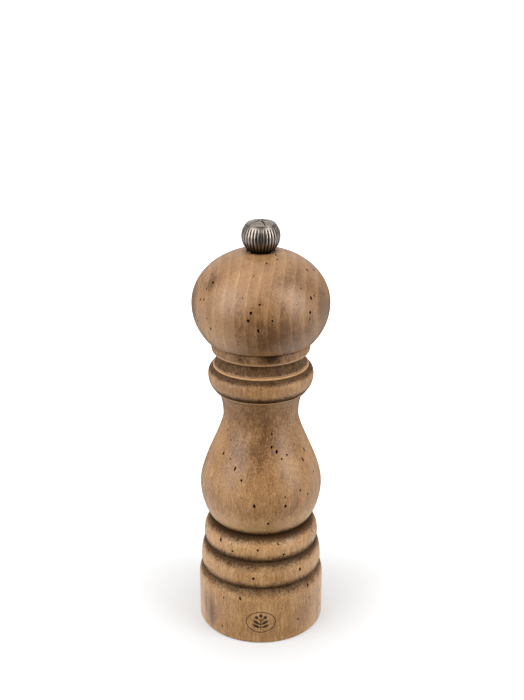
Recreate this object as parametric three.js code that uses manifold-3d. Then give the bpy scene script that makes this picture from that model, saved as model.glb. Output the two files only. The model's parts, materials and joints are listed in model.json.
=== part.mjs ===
// A turned wooden pepper mill: hand-turned head, square drive shaft, toothed steel grinder and top knob.
// Units are millimetres, +Z is up, and the origin is the centre of the foot that it stands on.
// Pull the knob tighter and the shaft rises for a finer grind; take it off and the head lifts away.

import * as THREE from 'three';
import { mergeVertices } from 'three/addons/utils/BufferGeometryUtils.js';
import Module from 'manifold-3d';

const wasm = await Module();
wasm.setup();

// Faces round a turned piece.
const WOOD_SEGMENTS = 40;
const METAL_SEGMENTS = 28;
const SMALL_SEGMENTS = 12;

// Gaps between neighbouring pieces.
const REST_GAP = 0.1;
const RUNNING_GAP = 0.3;

// Turned body, outside, from the foot up: r is a radius and z a height.
const BASE = { r: 27.5, chamfer: 0.5, top: 20.2 };
const GROOVE_LOW = { r: 24.5, z: 26.3 };
const RING_LOW = { r: 26.3, z: 29.4 };
const GROOVE_MID = { r: 23.6, z: 38.65 };
const RING_HIGH = { r: 24.8, z: 42.4 };
const GROOVE_HIGH = { r: 20.1, z: 49.7 };
const BELLY = { r: 26.05, z: 66.2, swell: 59.8, fall: 76.1 };
const BELLY_FOOT_PULL = [23.25, 51.9];
const NECK = { r: 15.8, z: 98.3, pull: 91.6 };
const NECK_FILLET = { r: 19.5, z: 109.7, height: 0.6, quirk: 0.8 };
const BEAD = { r: 21.9, z: 116.3 };
const COVE_FILLET = { r: 19.9, z: 120.1, height: 0.7, quirk: 0.5 };
const COVE_TOP = { r: 18.0, z: 125.6 };
const FLANGE = { r: 20.4, low: 126.0, top: 130.8, round: 1.2 };

// Turned body, inside.
const FOOT_RECESS = { r: 22.2, top: 5.6 };
const GRINDER_BORE = { r: 17.4, top: 33.6 };
const CHAMBER = { r: 11.0 };
const TENON_SOCKET = { r: 13.0, bottom: 115.0 };

// Head: a flattened ball with a tenon that turns in the body's socket.
const BALL = { r: 28.05, z: 146.6, above: 22.1, below: 24.6 };
const BALL_EDGE = { r: 21.4, z: 131.0, round: 0.6 };
const CROWN = { r: 8.0, z: 167.8, seatR: 5.7, seatZ: 167.1 };
const TENON = { r: 12.6, bottom: 116.8 };
const HEAD_BORE = 4.7;

// Knob.
const KNOB = { foot: 4.4, bottom: 167.45, r: 7.75, waist: 174.0, below: 7.9, above: 6.9, rim: 6.55 };
const KNOB_FLUTES = { count: 32, depth: 0.45, top: 177.3 };
const KNOB_BORE = { r: 4.05, top: 176.3 };
const CAP = { r: 6.0, bottom: 177.5, edge: 178.5, top: 180.0 };
const INSERT = { outer: 3.9, inner: 2.85, top: 175.4 };

// Square shaft with a threaded upper end and a round journal below.
const SHAFT = { side: 5.0, bottom: 7.2, shoulder: 163.5 };
const THREAD = { r: 2.5, root: 2.1, pitch: 0.8, top: 175.6 };
const JOURNAL = { r: 2.4, bottom: 1.4, chamfer: 0.4, groove: 1.8, grooveLow: 6.25, grooveHigh: 7.15 };

// Grinder.
const HOUSING = { outer: 17.1, inner: 15.2, flange: 21.8, lip: 13.0, low: 4.35, shelf: 5.5, top: 31.8 };
const STATOR = { outer: 15.0, low: 5.6, waist: 9.6, mouth: 13.6, top: 16.6 };
const STATOR_BORE = { low: 12.5, waist: 11.6, mouth: 12.4, top: 13.0 }; // radii at those heights
const STATOR_TEETH = 24;
const ROTOR = { low: 7.25, waist: 9.8, top: 19.0, lowR: 11.7, waistR: 11.15, topR: 6.6 };
const ROTOR_TEETH = 14;
const TOOTH_DEPTH = 0.7;
const TOOTH_FLOOR = 5; // no tooth reaches nearer to the axis than this
const TOOTH_TWIST = 0.03; // radians of helix for each millimetre of height
const SQUARE_HOLE = SHAFT.side + 2 * RUNNING_GAP;

// Bridges, spring and fasteners.
const FOOT_BRIDGE = { length: 42.6, width: 9, low: 2.6, high: 4.25, eye: 6.5, hole: 2.7 };
const SPRING_BRIDGE = { length: 33.2, width: 5, low: 31.9, high: 33.4, eye: 6.2, hole: 4.1 };
const THRUST_WASHER = { r: 6.8, low: 30.4, high: 31.5 };
const SPRING = { coilR: 5.4, wireR: 0.6, turns: 5, low: 19.3, high: 30.1 };
const CLIP = { outer: 4.2, inner: 2.1, low: 6.3, high: 7.1, mouthOuter: 1.9, mouthInner: 1.5 };
const DRIVE_PLATE = { r: 12.2, low: 115.5, high: 116.7 };
const EYELET = { outer: 4.5, inner: 3.9, bottom: 158 };
const BRIDGE_SCREW = { place: 19.1, head: 2.6, headZ: 1.15, seat: 2.5, shank: 1.15, tip: 15, hole: 1.5 };
const PLATE_SCREW = { place: 8.3, head: 2.1, headZ: 114.55, seat: 115.4, shank: 1.0, tip: 125, hole: 1.35 };
const PLATE_SCREWS = 3;
const SCREW_POINT = 2; // length of a screw's tapered end

/** A finish: colour, roughness and metalness of one material. */
function finish(color, roughness, metalness) {
  return new THREE.MeshStandardMaterial({ color, roughness, metalness });
}

const beech = finish(0xb08a66, 0.5, 0);
const pewter = finish(0x6b655c, 0.3, 1);
const pewterPale = finish(0xb5b0a6, 0.3, 1);
const toolSteel = finish(0x77787c, 0.42, 1);
const zincSteel = finish(0xb4b8bc, 0.38, 1);
const springSteel = finish(0x9a9ea3, 0.28, 1);
const brass = finish(0xc9a45a, 0.32, 1);

/** Points along an ellipse round (r, z), from one angle to another in degrees, 0 outwards and 90 up. */
function arc(r, z, radiusOut, radiusUp, from, to, steps) {
  const points = [];
  for (let i = 0; i <= steps; i += 1) {
    const angle = THREE.MathUtils.degToRad(from + ((to - from) * i) / steps);
    points.push([r + radiusOut * Math.cos(angle), z + radiusUp * Math.sin(angle)]);
  }
  return points;
}

/** Points along a cubic curve through four (radius, height) control points. */
function sweep(start, leaving, arriving, end, steps) {
  const corners = [start, leaving, arriving, end].map(([r, z]) => new THREE.Vector2(r, z));
  return new THREE.CubicBezierCurve(...corners).getPoints(steps).map((point) => [point.x, point.y]);
}

/** A (radius, height) outline turned about +Z; it starts and ends on the axis or closes on itself. */
function turned(outline, segments) {
  const points = outline.map(([r, z]) => new THREE.Vector2(r, z));
  const first = points[0];
  const last = points[points.length - 1];
  if (first.x > 0 || last.x > 0) points.push(first.clone());
  return new THREE.LatheGeometry(points, segments).rotateX(Math.PI / 2);
}

/** A plain round bar between two heights, at (x, y). */
function roundBar(radius, low, high, x = 0, y = 0, segments = SMALL_SEGMENTS) {
  const outline = [[0, low], [radius, low], [radius, high], [0, high]];
  return turned(outline, segments).translate(x, y, 0);
}

/** A flat shape of the XY plane raised from one height to another. */
function plate(shape, low, high, curveSegments = 12) {
  const options = { depth: high - low, bevelEnabled: false, curveSegments };
  return new THREE.ExtrudeGeometry(shape, options).translate(0, 0, low);
}

/** A square of the given side, centred on the axis. */
function squareShape(side) {
  const half = side / 2;
  return new THREE.Shape()
    .moveTo(-half, -half)
    .lineTo(half, -half)
    .lineTo(half, half)
    .lineTo(-half, half)
    .closePath();
}

/** A full circle about (x, y), as a shape or as a hole. */
function circlePath(radius, x = 0, y = 0) {
  return new THREE.Shape().absarc(x, y, radius, 0, 2 * Math.PI, false);
}

/** A geometry as a solid that can be joined or cut. */
function solid(geometry) {
  const bare = new THREE.BufferGeometry().setAttribute('position', geometry.getAttribute('position'));
  if (geometry.index) bare.setIndex(geometry.index);
  const merged = mergeVertices(bare, 1e-3);
  return new wasm.Manifold(new wasm.Mesh({
    numProp: 3,
    vertProperties: merged.attributes.position.array,
    triVerts: new Uint32Array(merged.index.array),
  }));
}

/** A solid as a geometry again. */
function surface(made) {
  const { vertProperties, triVerts } = made.getMesh();
  return new THREE.BufferGeometry()
    .setAttribute('position', new THREE.BufferAttribute(vertProperties, 3))
    .setIndex(new THREE.BufferAttribute(triVerts, 1))
    .toNonIndexed();
}

/** One geometry with others cut out of it. */
function cut(geometry, ...tools) {
  return surface(tools.reduce((whole, tool) => whole.subtract(solid(tool)), solid(geometry)));
}

/** Several overlapping geometries joined into one. */
function join(...pieces) {
  return surface(pieces.map(solid).reduce((whole, piece) => whole.add(piece)));
}

/** Teeth on a turned piece: radii up to the farthest grow by a saw wave that climbs in a helix. */
function toothed(geometry, teeth, farthest, twist) {
  const position = geometry.getAttribute('position');
  for (let i = 0; i < position.count; i += 1) {
    const x = position.getX(i);
    const y = position.getY(i);
    const radius = Math.hypot(x, y);
    if (radius < TOOTH_FLOOR || radius > farthest) continue;
    const turn = (Math.atan2(y, x) + twist * position.getZ(i)) * (teeth / (2 * Math.PI));
    const saw = Math.abs((turn - Math.floor(turn + 1e-6)) * 2 - 1);
    const scale = (radius + TOOTH_DEPTH * saw) / radius;
    position.setXY(i, x * scale, y * scale);
  }
  return geometry;
}

/** The places of screws spaced evenly round the axis. */
function ringPlaces(radius, count, start = 0) {
  return Array.from({ length: count }, (_, i) => {
    const angle = start + (2 * Math.PI * i) / count;
    return [radius * Math.cos(angle), radius * Math.sin(angle)];
  });
}

const bridgeScrewPlaces = ringPlaces(BRIDGE_SCREW.place, 2);
const plateScrewPlaces = ringPlaces(PLATE_SCREW.place, PLATE_SCREWS, Math.PI / 2);

/** Body: base, two rings, belly, neck, bead, cove and flange, bored right through. */
function turnedBody() {
  const shoulder = arc(GROOVE_LOW.r, BASE.top, BASE.r - GROOVE_LOW.r, GROOVE_LOW.z - BASE.top, 0, 90, 4);
  const ring = (below, crest, above) => [
    ...arc(below.r, crest.z, crest.r - below.r, crest.z - below.z, -90, 0, 3).slice(1),
    ...arc(above.r, crest.z, crest.r - above.r, above.z - crest.z, 0, 90, 4).slice(1),
  ];
  const waist = [BELLY.r, BELLY.z];
  const bellyRise = sweep([GROOVE_HIGH.r, GROOVE_HIGH.z], BELLY_FOOT_PULL, [BELLY.r, BELLY.swell], waist, 7);
  const bellyTop = sweep(waist, [BELLY.r, BELLY.fall], [NECK.r, NECK.pull], [NECK.r, NECK.z], 8);
  const flare = arc(NECK_FILLET.r, NECK.z, NECK.r - NECK_FILLET.r, NECK_FILLET.z - NECK.z, 0, 90, 5);
  const neckQuirk = [NECK_FILLET.r - NECK_FILLET.quirk, NECK_FILLET.z + NECK_FILLET.height];
  const coveQuirk = [COVE_FILLET.r - COVE_FILLET.quirk, COVE_FILLET.z];
  const beadLow = arc(neckQuirk[0], BEAD.z, BEAD.r - neckQuirk[0], BEAD.z - neckQuirk[1], -90, 0, 4);
  const beadHigh = arc(coveQuirk[0], BEAD.z, BEAD.r - coveQuirk[0], coveQuirk[1] - BEAD.z, 0, 90, 4);
  const coveFoot = COVE_FILLET.z + COVE_FILLET.height;
  const cove = arc(COVE_FILLET.r, COVE_TOP.z, COVE_TOP.r - COVE_FILLET.r, COVE_TOP.z - coveFoot, -90, 0, 4);
  const flangeHalf = (FLANGE.top - FLANGE.low) / 2;
  const flange = arc(FLANGE.r - FLANGE.round, FLANGE.low + flangeHalf, FLANGE.round, flangeHalf, -90, 90, 6);
  const outline = [
    [FOOT_RECESS.r, 0],
    [BASE.r - BASE.chamfer, 0],
    [BASE.r, BASE.chamfer],
    ...shoulder,
    ...ring(GROOVE_LOW, RING_LOW, GROOVE_MID),
    ...ring(GROOVE_MID, RING_HIGH, GROOVE_HIGH),
    ...bellyRise.slice(1),
    ...bellyTop.slice(1),
    ...flare.slice(1),
    ...beadLow,
    ...beadHigh.slice(1),
    [COVE_FILLET.r, COVE_FILLET.z],
    ...cove,
    ...flange,
    [TENON_SOCKET.r, FLANGE.top],
    [TENON_SOCKET.r, TENON_SOCKET.bottom],
    [CHAMBER.r, TENON_SOCKET.bottom],
    [CHAMBER.r, GRINDER_BORE.top],
    [GRINDER_BORE.r, GRINDER_BORE.top],
    [GRINDER_BORE.r, FOOT_RECESS.top],
    [FOOT_RECESS.r, FOOT_RECESS.top],
  ];
  const pilotTop = BRIDGE_SCREW.tip + 1;
  const pilots = bridgeScrewPlaces.map(([x, y]) => roundBar(BRIDGE_SCREW.hole, HOUSING.low, pilotTop, x, y));
  return cut(turned(outline, WOOD_SEGMENTS), ...pilots);
}

/** Head: the flattened ball, its tenon, and a bore that the shaft runs through. */
function headBall() {
  const edgeSine = (BALL_EDGE.z + BALL_EDGE.round - BALL.z) / BALL.below;
  const edgeAngle = THREE.MathUtils.radToDeg(Math.asin(edgeSine));
  const crownAngle = THREE.MathUtils.radToDeg(Math.asin((CROWN.z - BALL.z) / BALL.above));
  const outline = [
    [HEAD_BORE, TENON.bottom],
    [TENON.r, TENON.bottom],
    [TENON.r, BALL_EDGE.z],
    [BALL_EDGE.r - BALL_EDGE.round, BALL_EDGE.z],
    ...arc(0, BALL.z, BALL.r, BALL.below, edgeAngle, 0, 5),
    ...arc(0, BALL.z, BALL.r, BALL.above, 0, crownAngle, 10).slice(1),
    [CROWN.seatR, CROWN.z],
    [CROWN.seatR, CROWN.seatZ],
    [HEAD_BORE, CROWN.seatZ],
  ];
  const pilots = plateScrewPlaces.map(([x, y]) => (
    roundBar(PLATE_SCREW.hole, TENON.bottom - 1, PLATE_SCREW.tip + 1, x, y)
  ));
  return cut(turned(outline, WOOD_SEGMENTS), ...pilots);
}

/** Knob shell: a bowl with upright flutes, a smooth shoulder, a bore below and a recess for the cap. */
function knobShell() {
  const fluteSegments = KNOB_FLUTES.count * 2;
  const footAngle = THREE.MathUtils.radToDeg(Math.acos(KNOB.foot / KNOB.r));
  const rimAngle = THREE.MathUtils.radToDeg(Math.acos(KNOB.rim / KNOB.r));
  const bowl = arc(0, KNOB.waist, KNOB.r, KNOB.below, -footAngle, 0, 5);
  const shoulder = arc(0, KNOB.waist, KNOB.r, KNOB.above, 0, rimAngle, 3);
  const outline = [
    [KNOB_BORE.r, KNOB.bottom],
    [KNOB.foot, KNOB.bottom],
    ...bowl.slice(1),
    ...shoulder.slice(1),
    [CAP.r + REST_GAP, CAP.edge],
    [CAP.r + REST_GAP, CAP.bottom - REST_GAP],
    [0, CAP.bottom - REST_GAP],
    [0, KNOB_BORE.top],
    [KNOB_BORE.r, KNOB_BORE.top],
  ];
  const shell = turned(outline, fluteSegments);
  const position = shell.getAttribute('position');
  for (let i = 0; i < position.count; i += 1) {
    const z = position.getZ(i);
    const radius = Math.hypot(position.getX(i), position.getY(i));
    const fluted = radius > KNOB.foot + 0.01 && z < KNOB_FLUTES.top;
    if (!fluted) continue;
    const angle = Math.atan2(position.getY(i), position.getX(i));
    const wave = (1 - Math.cos(KNOB_FLUTES.count * angle)) / 2;
    const scale = (radius - KNOB_FLUTES.depth * wave) / radius;
    position.setXY(i, position.getX(i) * scale, position.getY(i) * scale);
  }
  return shell;
}

/** Cap: the low dome let into the top of the knob. */
function knobCap() {
  const dome = arc(0, CAP.edge, CAP.r, CAP.top - CAP.edge, 0, 90, 5);
  return turned([[0, CAP.bottom], [CAP.r, CAP.bottom], ...dome], METAL_SEGMENTS);
}

/** Insert: the tapped bush pressed into the knob. */
function threadInsert() {
  const low = KNOB.bottom + REST_GAP;
  return turned([
    [INSERT.inner, low],
    [INSERT.outer, low],
    [INSERT.outer, INSERT.top],
    [INSERT.inner, INSERT.top],
  ], SMALL_SEGMENTS);
}

/** Shaft: a square bar, a round threaded end, and a journal with the groove for its clip. */
function driveShaft() {
  const bar = plate(squareShape(SHAFT.side), SHAFT.bottom, SHAFT.shoulder);
  const turns = Math.floor((THREAD.top - SHAFT.shoulder - 1) / THREAD.pitch);
  const outline = [[0, SHAFT.shoulder - 1], [THREAD.root, SHAFT.shoulder - 1]];
  for (let i = 0; i < turns; i += 1) {
    const z = SHAFT.shoulder + 0.4 + i * THREAD.pitch;
    outline.push([THREAD.root, z], [THREAD.r, z + THREAD.pitch / 2]);
  }
  outline.push([THREAD.root, THREAD.top], [0, THREAD.top]);
  const journal = [
    [0, JOURNAL.bottom],
    [JOURNAL.r - JOURNAL.chamfer, JOURNAL.bottom],
    [JOURNAL.r, JOURNAL.bottom + JOURNAL.chamfer],
    [JOURNAL.r, JOURNAL.grooveLow],
    [JOURNAL.groove, JOURNAL.grooveLow],
    [JOURNAL.groove, JOURNAL.grooveHigh],
    [JOURNAL.r, JOURNAL.grooveHigh],
    [JOURNAL.r, SHAFT.bottom + 1],
    [0, SHAFT.bottom + 1],
  ];
  return join(bar, turned(outline, SMALL_SEGMENTS), turned(journal, SMALL_SEGMENTS));
}

/** Rotor burr: a cone of slanting teeth that widens downwards, with the shaft's square hole. */
function rotorBurr() {
  const outline = [
    [0, ROTOR.low],
    [ROTOR.lowR - TOOTH_DEPTH, ROTOR.low],
    [ROTOR.waistR - TOOTH_DEPTH, ROTOR.waist],
    ...arc(ROTOR.waistR, ROTOR.top, ROTOR.topR - ROTOR.waistR, ROTOR.waist - ROTOR.top, 60, 30, 1)
      .map(([r, z]) => [r - TOOTH_DEPTH, z]),
    [ROTOR.topR - TOOTH_DEPTH, ROTOR.top],
    [0, ROTOR.top],
  ];
  const cone = toothed(turned(outline, ROTOR_TEETH * 4), ROTOR_TEETH, ROTOR.lowR, TOOTH_TWIST);
  return cut(cone, plate(squareShape(SQUARE_HOLE), ROTOR.low - 1, ROTOR.top + 1));
}

/** Stator ring: fixed inner teeth, a wide mouth above, and a narrow throat that opens downwards. */
function statorRing() {
  const outline = [
    [STATOR_BORE.low, STATOR.low],
    [STATOR.outer, STATOR.low],
    [STATOR.outer, STATOR.top],
    [STATOR_BORE.top, STATOR.top],
    [STATOR_BORE.mouth, STATOR.mouth],
    [STATOR_BORE.waist, STATOR.waist],
  ];
  const ring = turned(outline, STATOR_TEETH * 3);
  return toothed(ring, STATOR_TEETH, STATOR_BORE.top + 0.05, -TOOTH_TWIST);
}

/** Housing: a sleeve with a flange at the foot and an inner lip that carries the stator ring. */
function grinderHousing() {
  const outline = [
    [HOUSING.lip, HOUSING.low],
    [HOUSING.flange, HOUSING.low],
    [HOUSING.flange, HOUSING.shelf],
    [HOUSING.outer, HOUSING.shelf],
    [HOUSING.outer, HOUSING.top],
    [HOUSING.inner, HOUSING.top],
    [HOUSING.inner, HOUSING.shelf],
    [HOUSING.lip, HOUSING.shelf],
  ];
  const [low, high] = [HOUSING.low - 1, HOUSING.shelf + 1];
  const holes = bridgeScrewPlaces.map(([x, y]) => roundBar(BRIDGE_SCREW.hole, low, high, x, y));
  return cut(turned(outline, WOOD_SEGMENTS), ...holes);
}

/** A bar with rounded ends across the axis, a round eye in the middle and a hole through the eye. */
function bridgeBar({ length, width, low, high, eye, hole }, screwHoles) {
  const half = width / 2;
  const reach = length / 2 - half;
  const bar = new THREE.Shape()
    .moveTo(-reach, -half)
    .lineTo(reach, -half)
    .absarc(reach, 0, half, -Math.PI / 2, Math.PI / 2, false)
    .lineTo(-reach, half)
    .absarc(-reach, 0, half, Math.PI / 2, (3 * Math.PI) / 2, false);
  const whole = join(plate(bar, low, high, 8), roundBar(eye, low, high, 0, 0, METAL_SEGMENTS));
  const holes = screwHoles.map(([x, y]) => roundBar(BRIDGE_SCREW.hole, low - 1, high + 1, x, y));
  return cut(whole, roundBar(hole, low - 1, high + 1, 0, 0, METAL_SEGMENTS), ...holes);
}

/** Washer with a square hole, which turns with the shaft and carries the spring's upper end. */
function thrustWasher() {
  const disc = circlePath(THRUST_WASHER.r);
  disc.holes.push(squareShape(SQUARE_HOLE));
  return plate(disc, THRUST_WASHER.low, THRUST_WASHER.high, METAL_SEGMENTS / 2);
}

/** Spring: an open helix of round wire. */
function grindSpring() {
  class Helix extends THREE.Curve {
    getPoint(t, target = new THREE.Vector3()) {
      const angle = 2 * Math.PI * SPRING.turns * t;
      const z = SPRING.low + SPRING.wireR + (SPRING.high - SPRING.low - 2 * SPRING.wireR) * t;
      return target.set(SPRING.coilR * Math.cos(angle), SPRING.coilR * Math.sin(angle), z);
    }
  }
  const wire = new THREE.Shape();
  for (let side = 0; side < 6; side += 1) {
    const angle = (Math.PI * side) / 3;
    const point = [SPRING.wireR * Math.cos(angle), SPRING.wireR * Math.sin(angle)];
    if (side === 0) wire.moveTo(...point);
    else wire.lineTo(...point);
  }
  wire.closePath();
  const options = { steps: SPRING.turns * 12, extrudePath: new Helix(), bevelEnabled: false };
  return new THREE.ExtrudeGeometry(wire, options);
}

/** Clip: an open ring that snaps into the journal's groove under the rotor. */
function retainingClip() {
  const ring = new THREE.Shape();
  const openOuter = Math.asin(CLIP.mouthOuter / CLIP.outer);
  const openInner = Math.asin(CLIP.mouthInner / CLIP.inner);
  ring.absarc(0, 0, CLIP.outer, openOuter, 2 * Math.PI - openOuter, false);
  ring.absarc(0, 0, CLIP.inner, 2 * Math.PI - openInner, openInner, true);
  return plate(ring, CLIP.low, CLIP.high, 12);
}

/** Drive plate: a disc under the tenon whose square hole turns the shaft with the head. */
function drivePlate() {
  const disc = circlePath(DRIVE_PLATE.r);
  disc.holes.push(squareShape(SQUARE_HOLE));
  plateScrewPlaces.forEach(([x, y]) => disc.holes.push(circlePath(PLATE_SCREW.hole, x, y)));
  return plate(disc, DRIVE_PLATE.low, DRIVE_PLATE.high, METAL_SEGMENTS / 2);
}

/** Eyelet: the smooth sleeve that lines the top of the head's bore. */
function headEyelet() {
  return turned([
    [EYELET.inner, EYELET.bottom],
    [EYELET.outer, EYELET.bottom],
    [EYELET.outer, CROWN.seatZ],
    [EYELET.inner, CROWN.seatZ],
  ], METAL_SEGMENTS);
}

/** Screw: a low domed head below, a shank and a pointed tip above. */
function woodScrew({ head, headZ, seat, shank, tip }, [x, y]) {
  return turned([
    [0, headZ],
    [head * 0.7, headZ],
    [head, headZ + (seat - headZ) * 0.5],
    [head, seat],
    [shank, seat],
    [shank, tip - SCREW_POINT],
    [0, tip],
  ], SMALL_SEGMENTS).translate(x, y, 0);
}

/** One named piece. */
function piece(name, geometry, material) {
  const mesh = new THREE.Mesh(geometry, material);
  mesh.name = name;
  return mesh;
}

/** A sub-assembly: pieces that stay together. */
function assembly(...pieces) {
  const group = new THREE.Group();
  group.add(...pieces);
  return group;
}

const body = assembly(
  piece('turned_body', turnedBody(), beech),
  piece('grinder_housing', grinderHousing(), zincSteel),
  piece('stator_ring', statorRing(), toolSteel),
  piece('foot_bridge', bridgeBar(FOOT_BRIDGE, bridgeScrewPlaces), zincSteel),
  piece('spring_bridge', bridgeBar(SPRING_BRIDGE, []), zincSteel),
  ...bridgeScrewPlaces.map((place, i) => (
    piece(`bridge_screw_${i + 1}`, woodScrew(BRIDGE_SCREW, place), zincSteel)
  )),
);

const washer = assembly(
  piece('thrust_washer', thrustWasher(), brass),
  piece('grind_spring', grindSpring(), springSteel),
);

const shaft = assembly(
  piece('drive_shaft', driveShaft(), zincSteel),
  piece('rotor_burr', rotorBurr(), toolSteel),
  piece('rotor_clip', retainingClip(), springSteel),
);

const head = assembly(
  piece('head_ball', headBall(), beech),
  piece('drive_plate', drivePlate(), zincSteel),
  piece('head_eyelet', headEyelet(), brass),
  ...plateScrewPlaces.map((place, i) => (
    piece(`plate_screw_${i + 1}`, woodScrew(PLATE_SCREW, place), zincSteel)
  )),
);

const knob = assembly(
  piece('knob_shell', knobShell(), pewter),
  piece('knob_cap', knobCap(), pewterPale),
  piece('knob_insert', threadInsert(), brass),
);

const mill = new THREE.Group();
mill.add(body, washer, shaft, head, knob);

export default mill;
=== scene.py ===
"""Looks of a turned wooden pepper mill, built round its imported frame.

The classes hold their sizes in millimetres and the meshes are written in metres, in the frame's own axes:
+Z is up and the origin is the middle of the foot. Each new piece is a surface worked out with numpy, from a
section (radius and height) and a set of bearings about the mill's axis.
"""

import json
import logging
from collections.abc import Callable
from dataclasses import dataclass, field
from enum import Enum
from typing import Any

import bpy
import numpy as np
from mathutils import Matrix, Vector


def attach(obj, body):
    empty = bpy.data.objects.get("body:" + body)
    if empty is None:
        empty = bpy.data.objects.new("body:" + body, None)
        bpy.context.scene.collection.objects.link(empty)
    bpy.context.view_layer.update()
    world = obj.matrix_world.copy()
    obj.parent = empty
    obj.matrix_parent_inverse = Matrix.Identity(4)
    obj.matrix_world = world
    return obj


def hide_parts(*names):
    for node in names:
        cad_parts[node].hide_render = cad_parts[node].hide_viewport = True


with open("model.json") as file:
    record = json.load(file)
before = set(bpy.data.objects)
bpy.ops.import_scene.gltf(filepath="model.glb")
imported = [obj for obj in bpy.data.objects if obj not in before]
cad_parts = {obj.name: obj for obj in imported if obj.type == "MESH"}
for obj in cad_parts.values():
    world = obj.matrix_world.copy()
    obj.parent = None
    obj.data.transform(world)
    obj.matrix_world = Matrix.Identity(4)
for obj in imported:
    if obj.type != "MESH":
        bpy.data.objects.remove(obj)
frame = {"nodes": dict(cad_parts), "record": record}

log = logging.getLogger("pepper_mill")

Array = np.ndarray
Point = tuple[float, float]
Tree = bpy.types.NodeTree
Shaper = Callable[[Array, Array, Array], tuple[Array, Array]]

METRES = 0.001  # metres in a millimetre
TAU = 2.0 * np.pi
ARC_POINTS = 25
CURVE_POINTS = 41


# --------------------------------------------------------------------------------------------------
# Outlines: arrays of (radius, height) points


def arc(centre: Point, reach: Point, span: Point) -> Array:
    """Draws part of an ellipse in a section.

    A point at angle a stands reach[0] * cos(a) out and reach[1] * sin(a) up from the centre.

    Args:
        centre: radius and height of the middle.
        reach: half-width outwards and half-height upwards.
        span: first and last angle in degrees, 0 outwards and 90 up.

    Returns:
        The points, one row each.
    """
    angle = np.radians(np.linspace(span[0], span[1], ARC_POINTS))
    return np.stack([centre[0] + reach[0] * np.cos(angle), centre[1] + reach[1] * np.sin(angle)], axis=1)


def quarter_up(level: Point, upright: Point) -> Array:
    """A quarter of an ellipse that leaves its lower end level and reaches its upper end upright."""
    return arc((level[0], upright[1]), (upright[0] - level[0], upright[1] - level[1]), (-90, 0))


def quarter_over(upright: Point, level: Point) -> Array:
    """A quarter of an ellipse that leaves its lower end upright and reaches its upper end level."""
    return arc((level[0], upright[1]), (upright[0] - level[0], level[1] - upright[1]), (0, 90))


def sweep(*corners: Point) -> Array:
    """Draws a cubic curve through its first and last corner, pulled towards the two between.

    Args:
        corners: four control points.

    Returns:
        The points, one row each.
    """
    t = np.linspace(0.0, 1.0, CURVE_POINTS)[:, None]
    p = np.array(corners, dtype=float)
    return (1 - t) ** 3 * p[0] + 3 * (1 - t) ** 2 * t * p[1] + 3 * (1 - t) * t**2 * p[2] + t**3 * p[3]


def smoothstep(low: float, high: float, value: Array) -> Array:
    """Rises from 0 at low to 1 at high with level ends: t * t * (3 - 2 t)."""
    t = np.clip((value - low) / (high - low), 0.0, 1.0)
    return t * t * (3.0 - 2.0 * t)


@dataclass(frozen=True)
class Spacing:
    """How a section is worn and where its rings go.

    Attributes:
        wear: rounding of the corners, the Gaussian's width in millimetres.
        coarse: widest gap between rings in millimetres.
        bend: most turn between two rings in degrees.
    """

    wear: float
    coarse: float
    bend: float


def settle(outline: Array, spacing: Spacing, looped: bool) -> Array:
    """Wears the corners of an outline and spaces its points.

    The outline is read off every 0.02 mm, smoothed along its length by a Gaussian, and then sampled where the
    running sum of step / coarse + turn / bend passes each whole number.

    Args:
        outline: sharp (radius, height) points; a loop doesn't repeat its first point.
        spacing: how to wear and sample it.
        looped: True if it closes on itself, False if it starts and ends on the axis.

    Returns:
        The new points.
    """
    grain = 0.02
    path = np.vstack([outline, outline[:1]]) if looped else outline
    run = np.r_[0.0, np.cumsum(np.hypot(*np.diff(path, axis=0).T))]
    marks = np.arange(0.0, run[-1], grain)
    dense = np.stack([np.interp(marks, run, path[:, k]) for k in range(2)], axis=1)
    reach = int(np.ceil(3.0 * spacing.wear / grain))
    if looped:
        padded = np.vstack([dense[-reach:], dense, dense[:reach]])
    else:
        mirror = np.array([-1.0, 1.0])
        padded = np.vstack([dense[reach:0:-1] * mirror, dense, dense[-2 : -reach - 2 : -1] * mirror])
    weights = np.exp(-0.5 * (np.arange(-reach, reach + 1) * grain / spacing.wear) ** 2)
    worn = np.stack([np.convolve(padded[:, k], weights / weights.sum(), "valid") for k in range(2)], axis=1)
    step = np.gradient(worn, axis=0)
    turn = np.abs(np.gradient(np.unwrap(np.arctan2(step[:, 1], step[:, 0]))))
    count = np.cumsum(grain / spacing.coarse + turn / np.radians(spacing.bend))
    rings = int(np.ceil(count[-1]))
    wanted = np.linspace(count[0], count[-1], rings + 1)[: rings if looped else None]
    return np.stack([np.interp(wanted, count, worn[:, k]) for k in range(2)], axis=1)


# --------------------------------------------------------------------------------------------------
# Skins: closed surfaces


@dataclass
class Skin:
    """A closed surface in millimetres.

    Attributes:
        vertices: one row of x, y, z for each vertex.
        quads: rows of four vertex numbers, anticlockwise from outside.
        triangles: rows of three vertex numbers, anticlockwise from outside.
        notes: quantities painted on the surface, one value for each vertex.
    """

    vertices: Array
    quads: Array
    triangles: Array = field(default_factory=lambda: np.zeros((0, 3), int))
    notes: dict[str, Array] = field(default_factory=dict)


def ring_grid(rings: int, across: int, ring_loop: bool, across_loop: bool) -> Array:
    """Numbers the quads of a grid of vertices stored ring by ring.

    Args:
        rings: rings of vertices.
        across: vertices in each ring.
        ring_loop: join the last ring to the first.
        across_loop: join each ring's last vertex to its first.

    Returns:
        Rows of four vertex numbers.
    """
    i = np.arange(rings if ring_loop else rings - 1)[:, None]
    j = np.arange(across if across_loop else across - 1)[None, :]
    up, on = (i + 1) % rings, (j + 1) % across
    corners = np.broadcast_arrays(i * across + j, i * across + on, up * across + on, up * across + j)
    return np.stack(corners, axis=-1).reshape(-1, 4)


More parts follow.
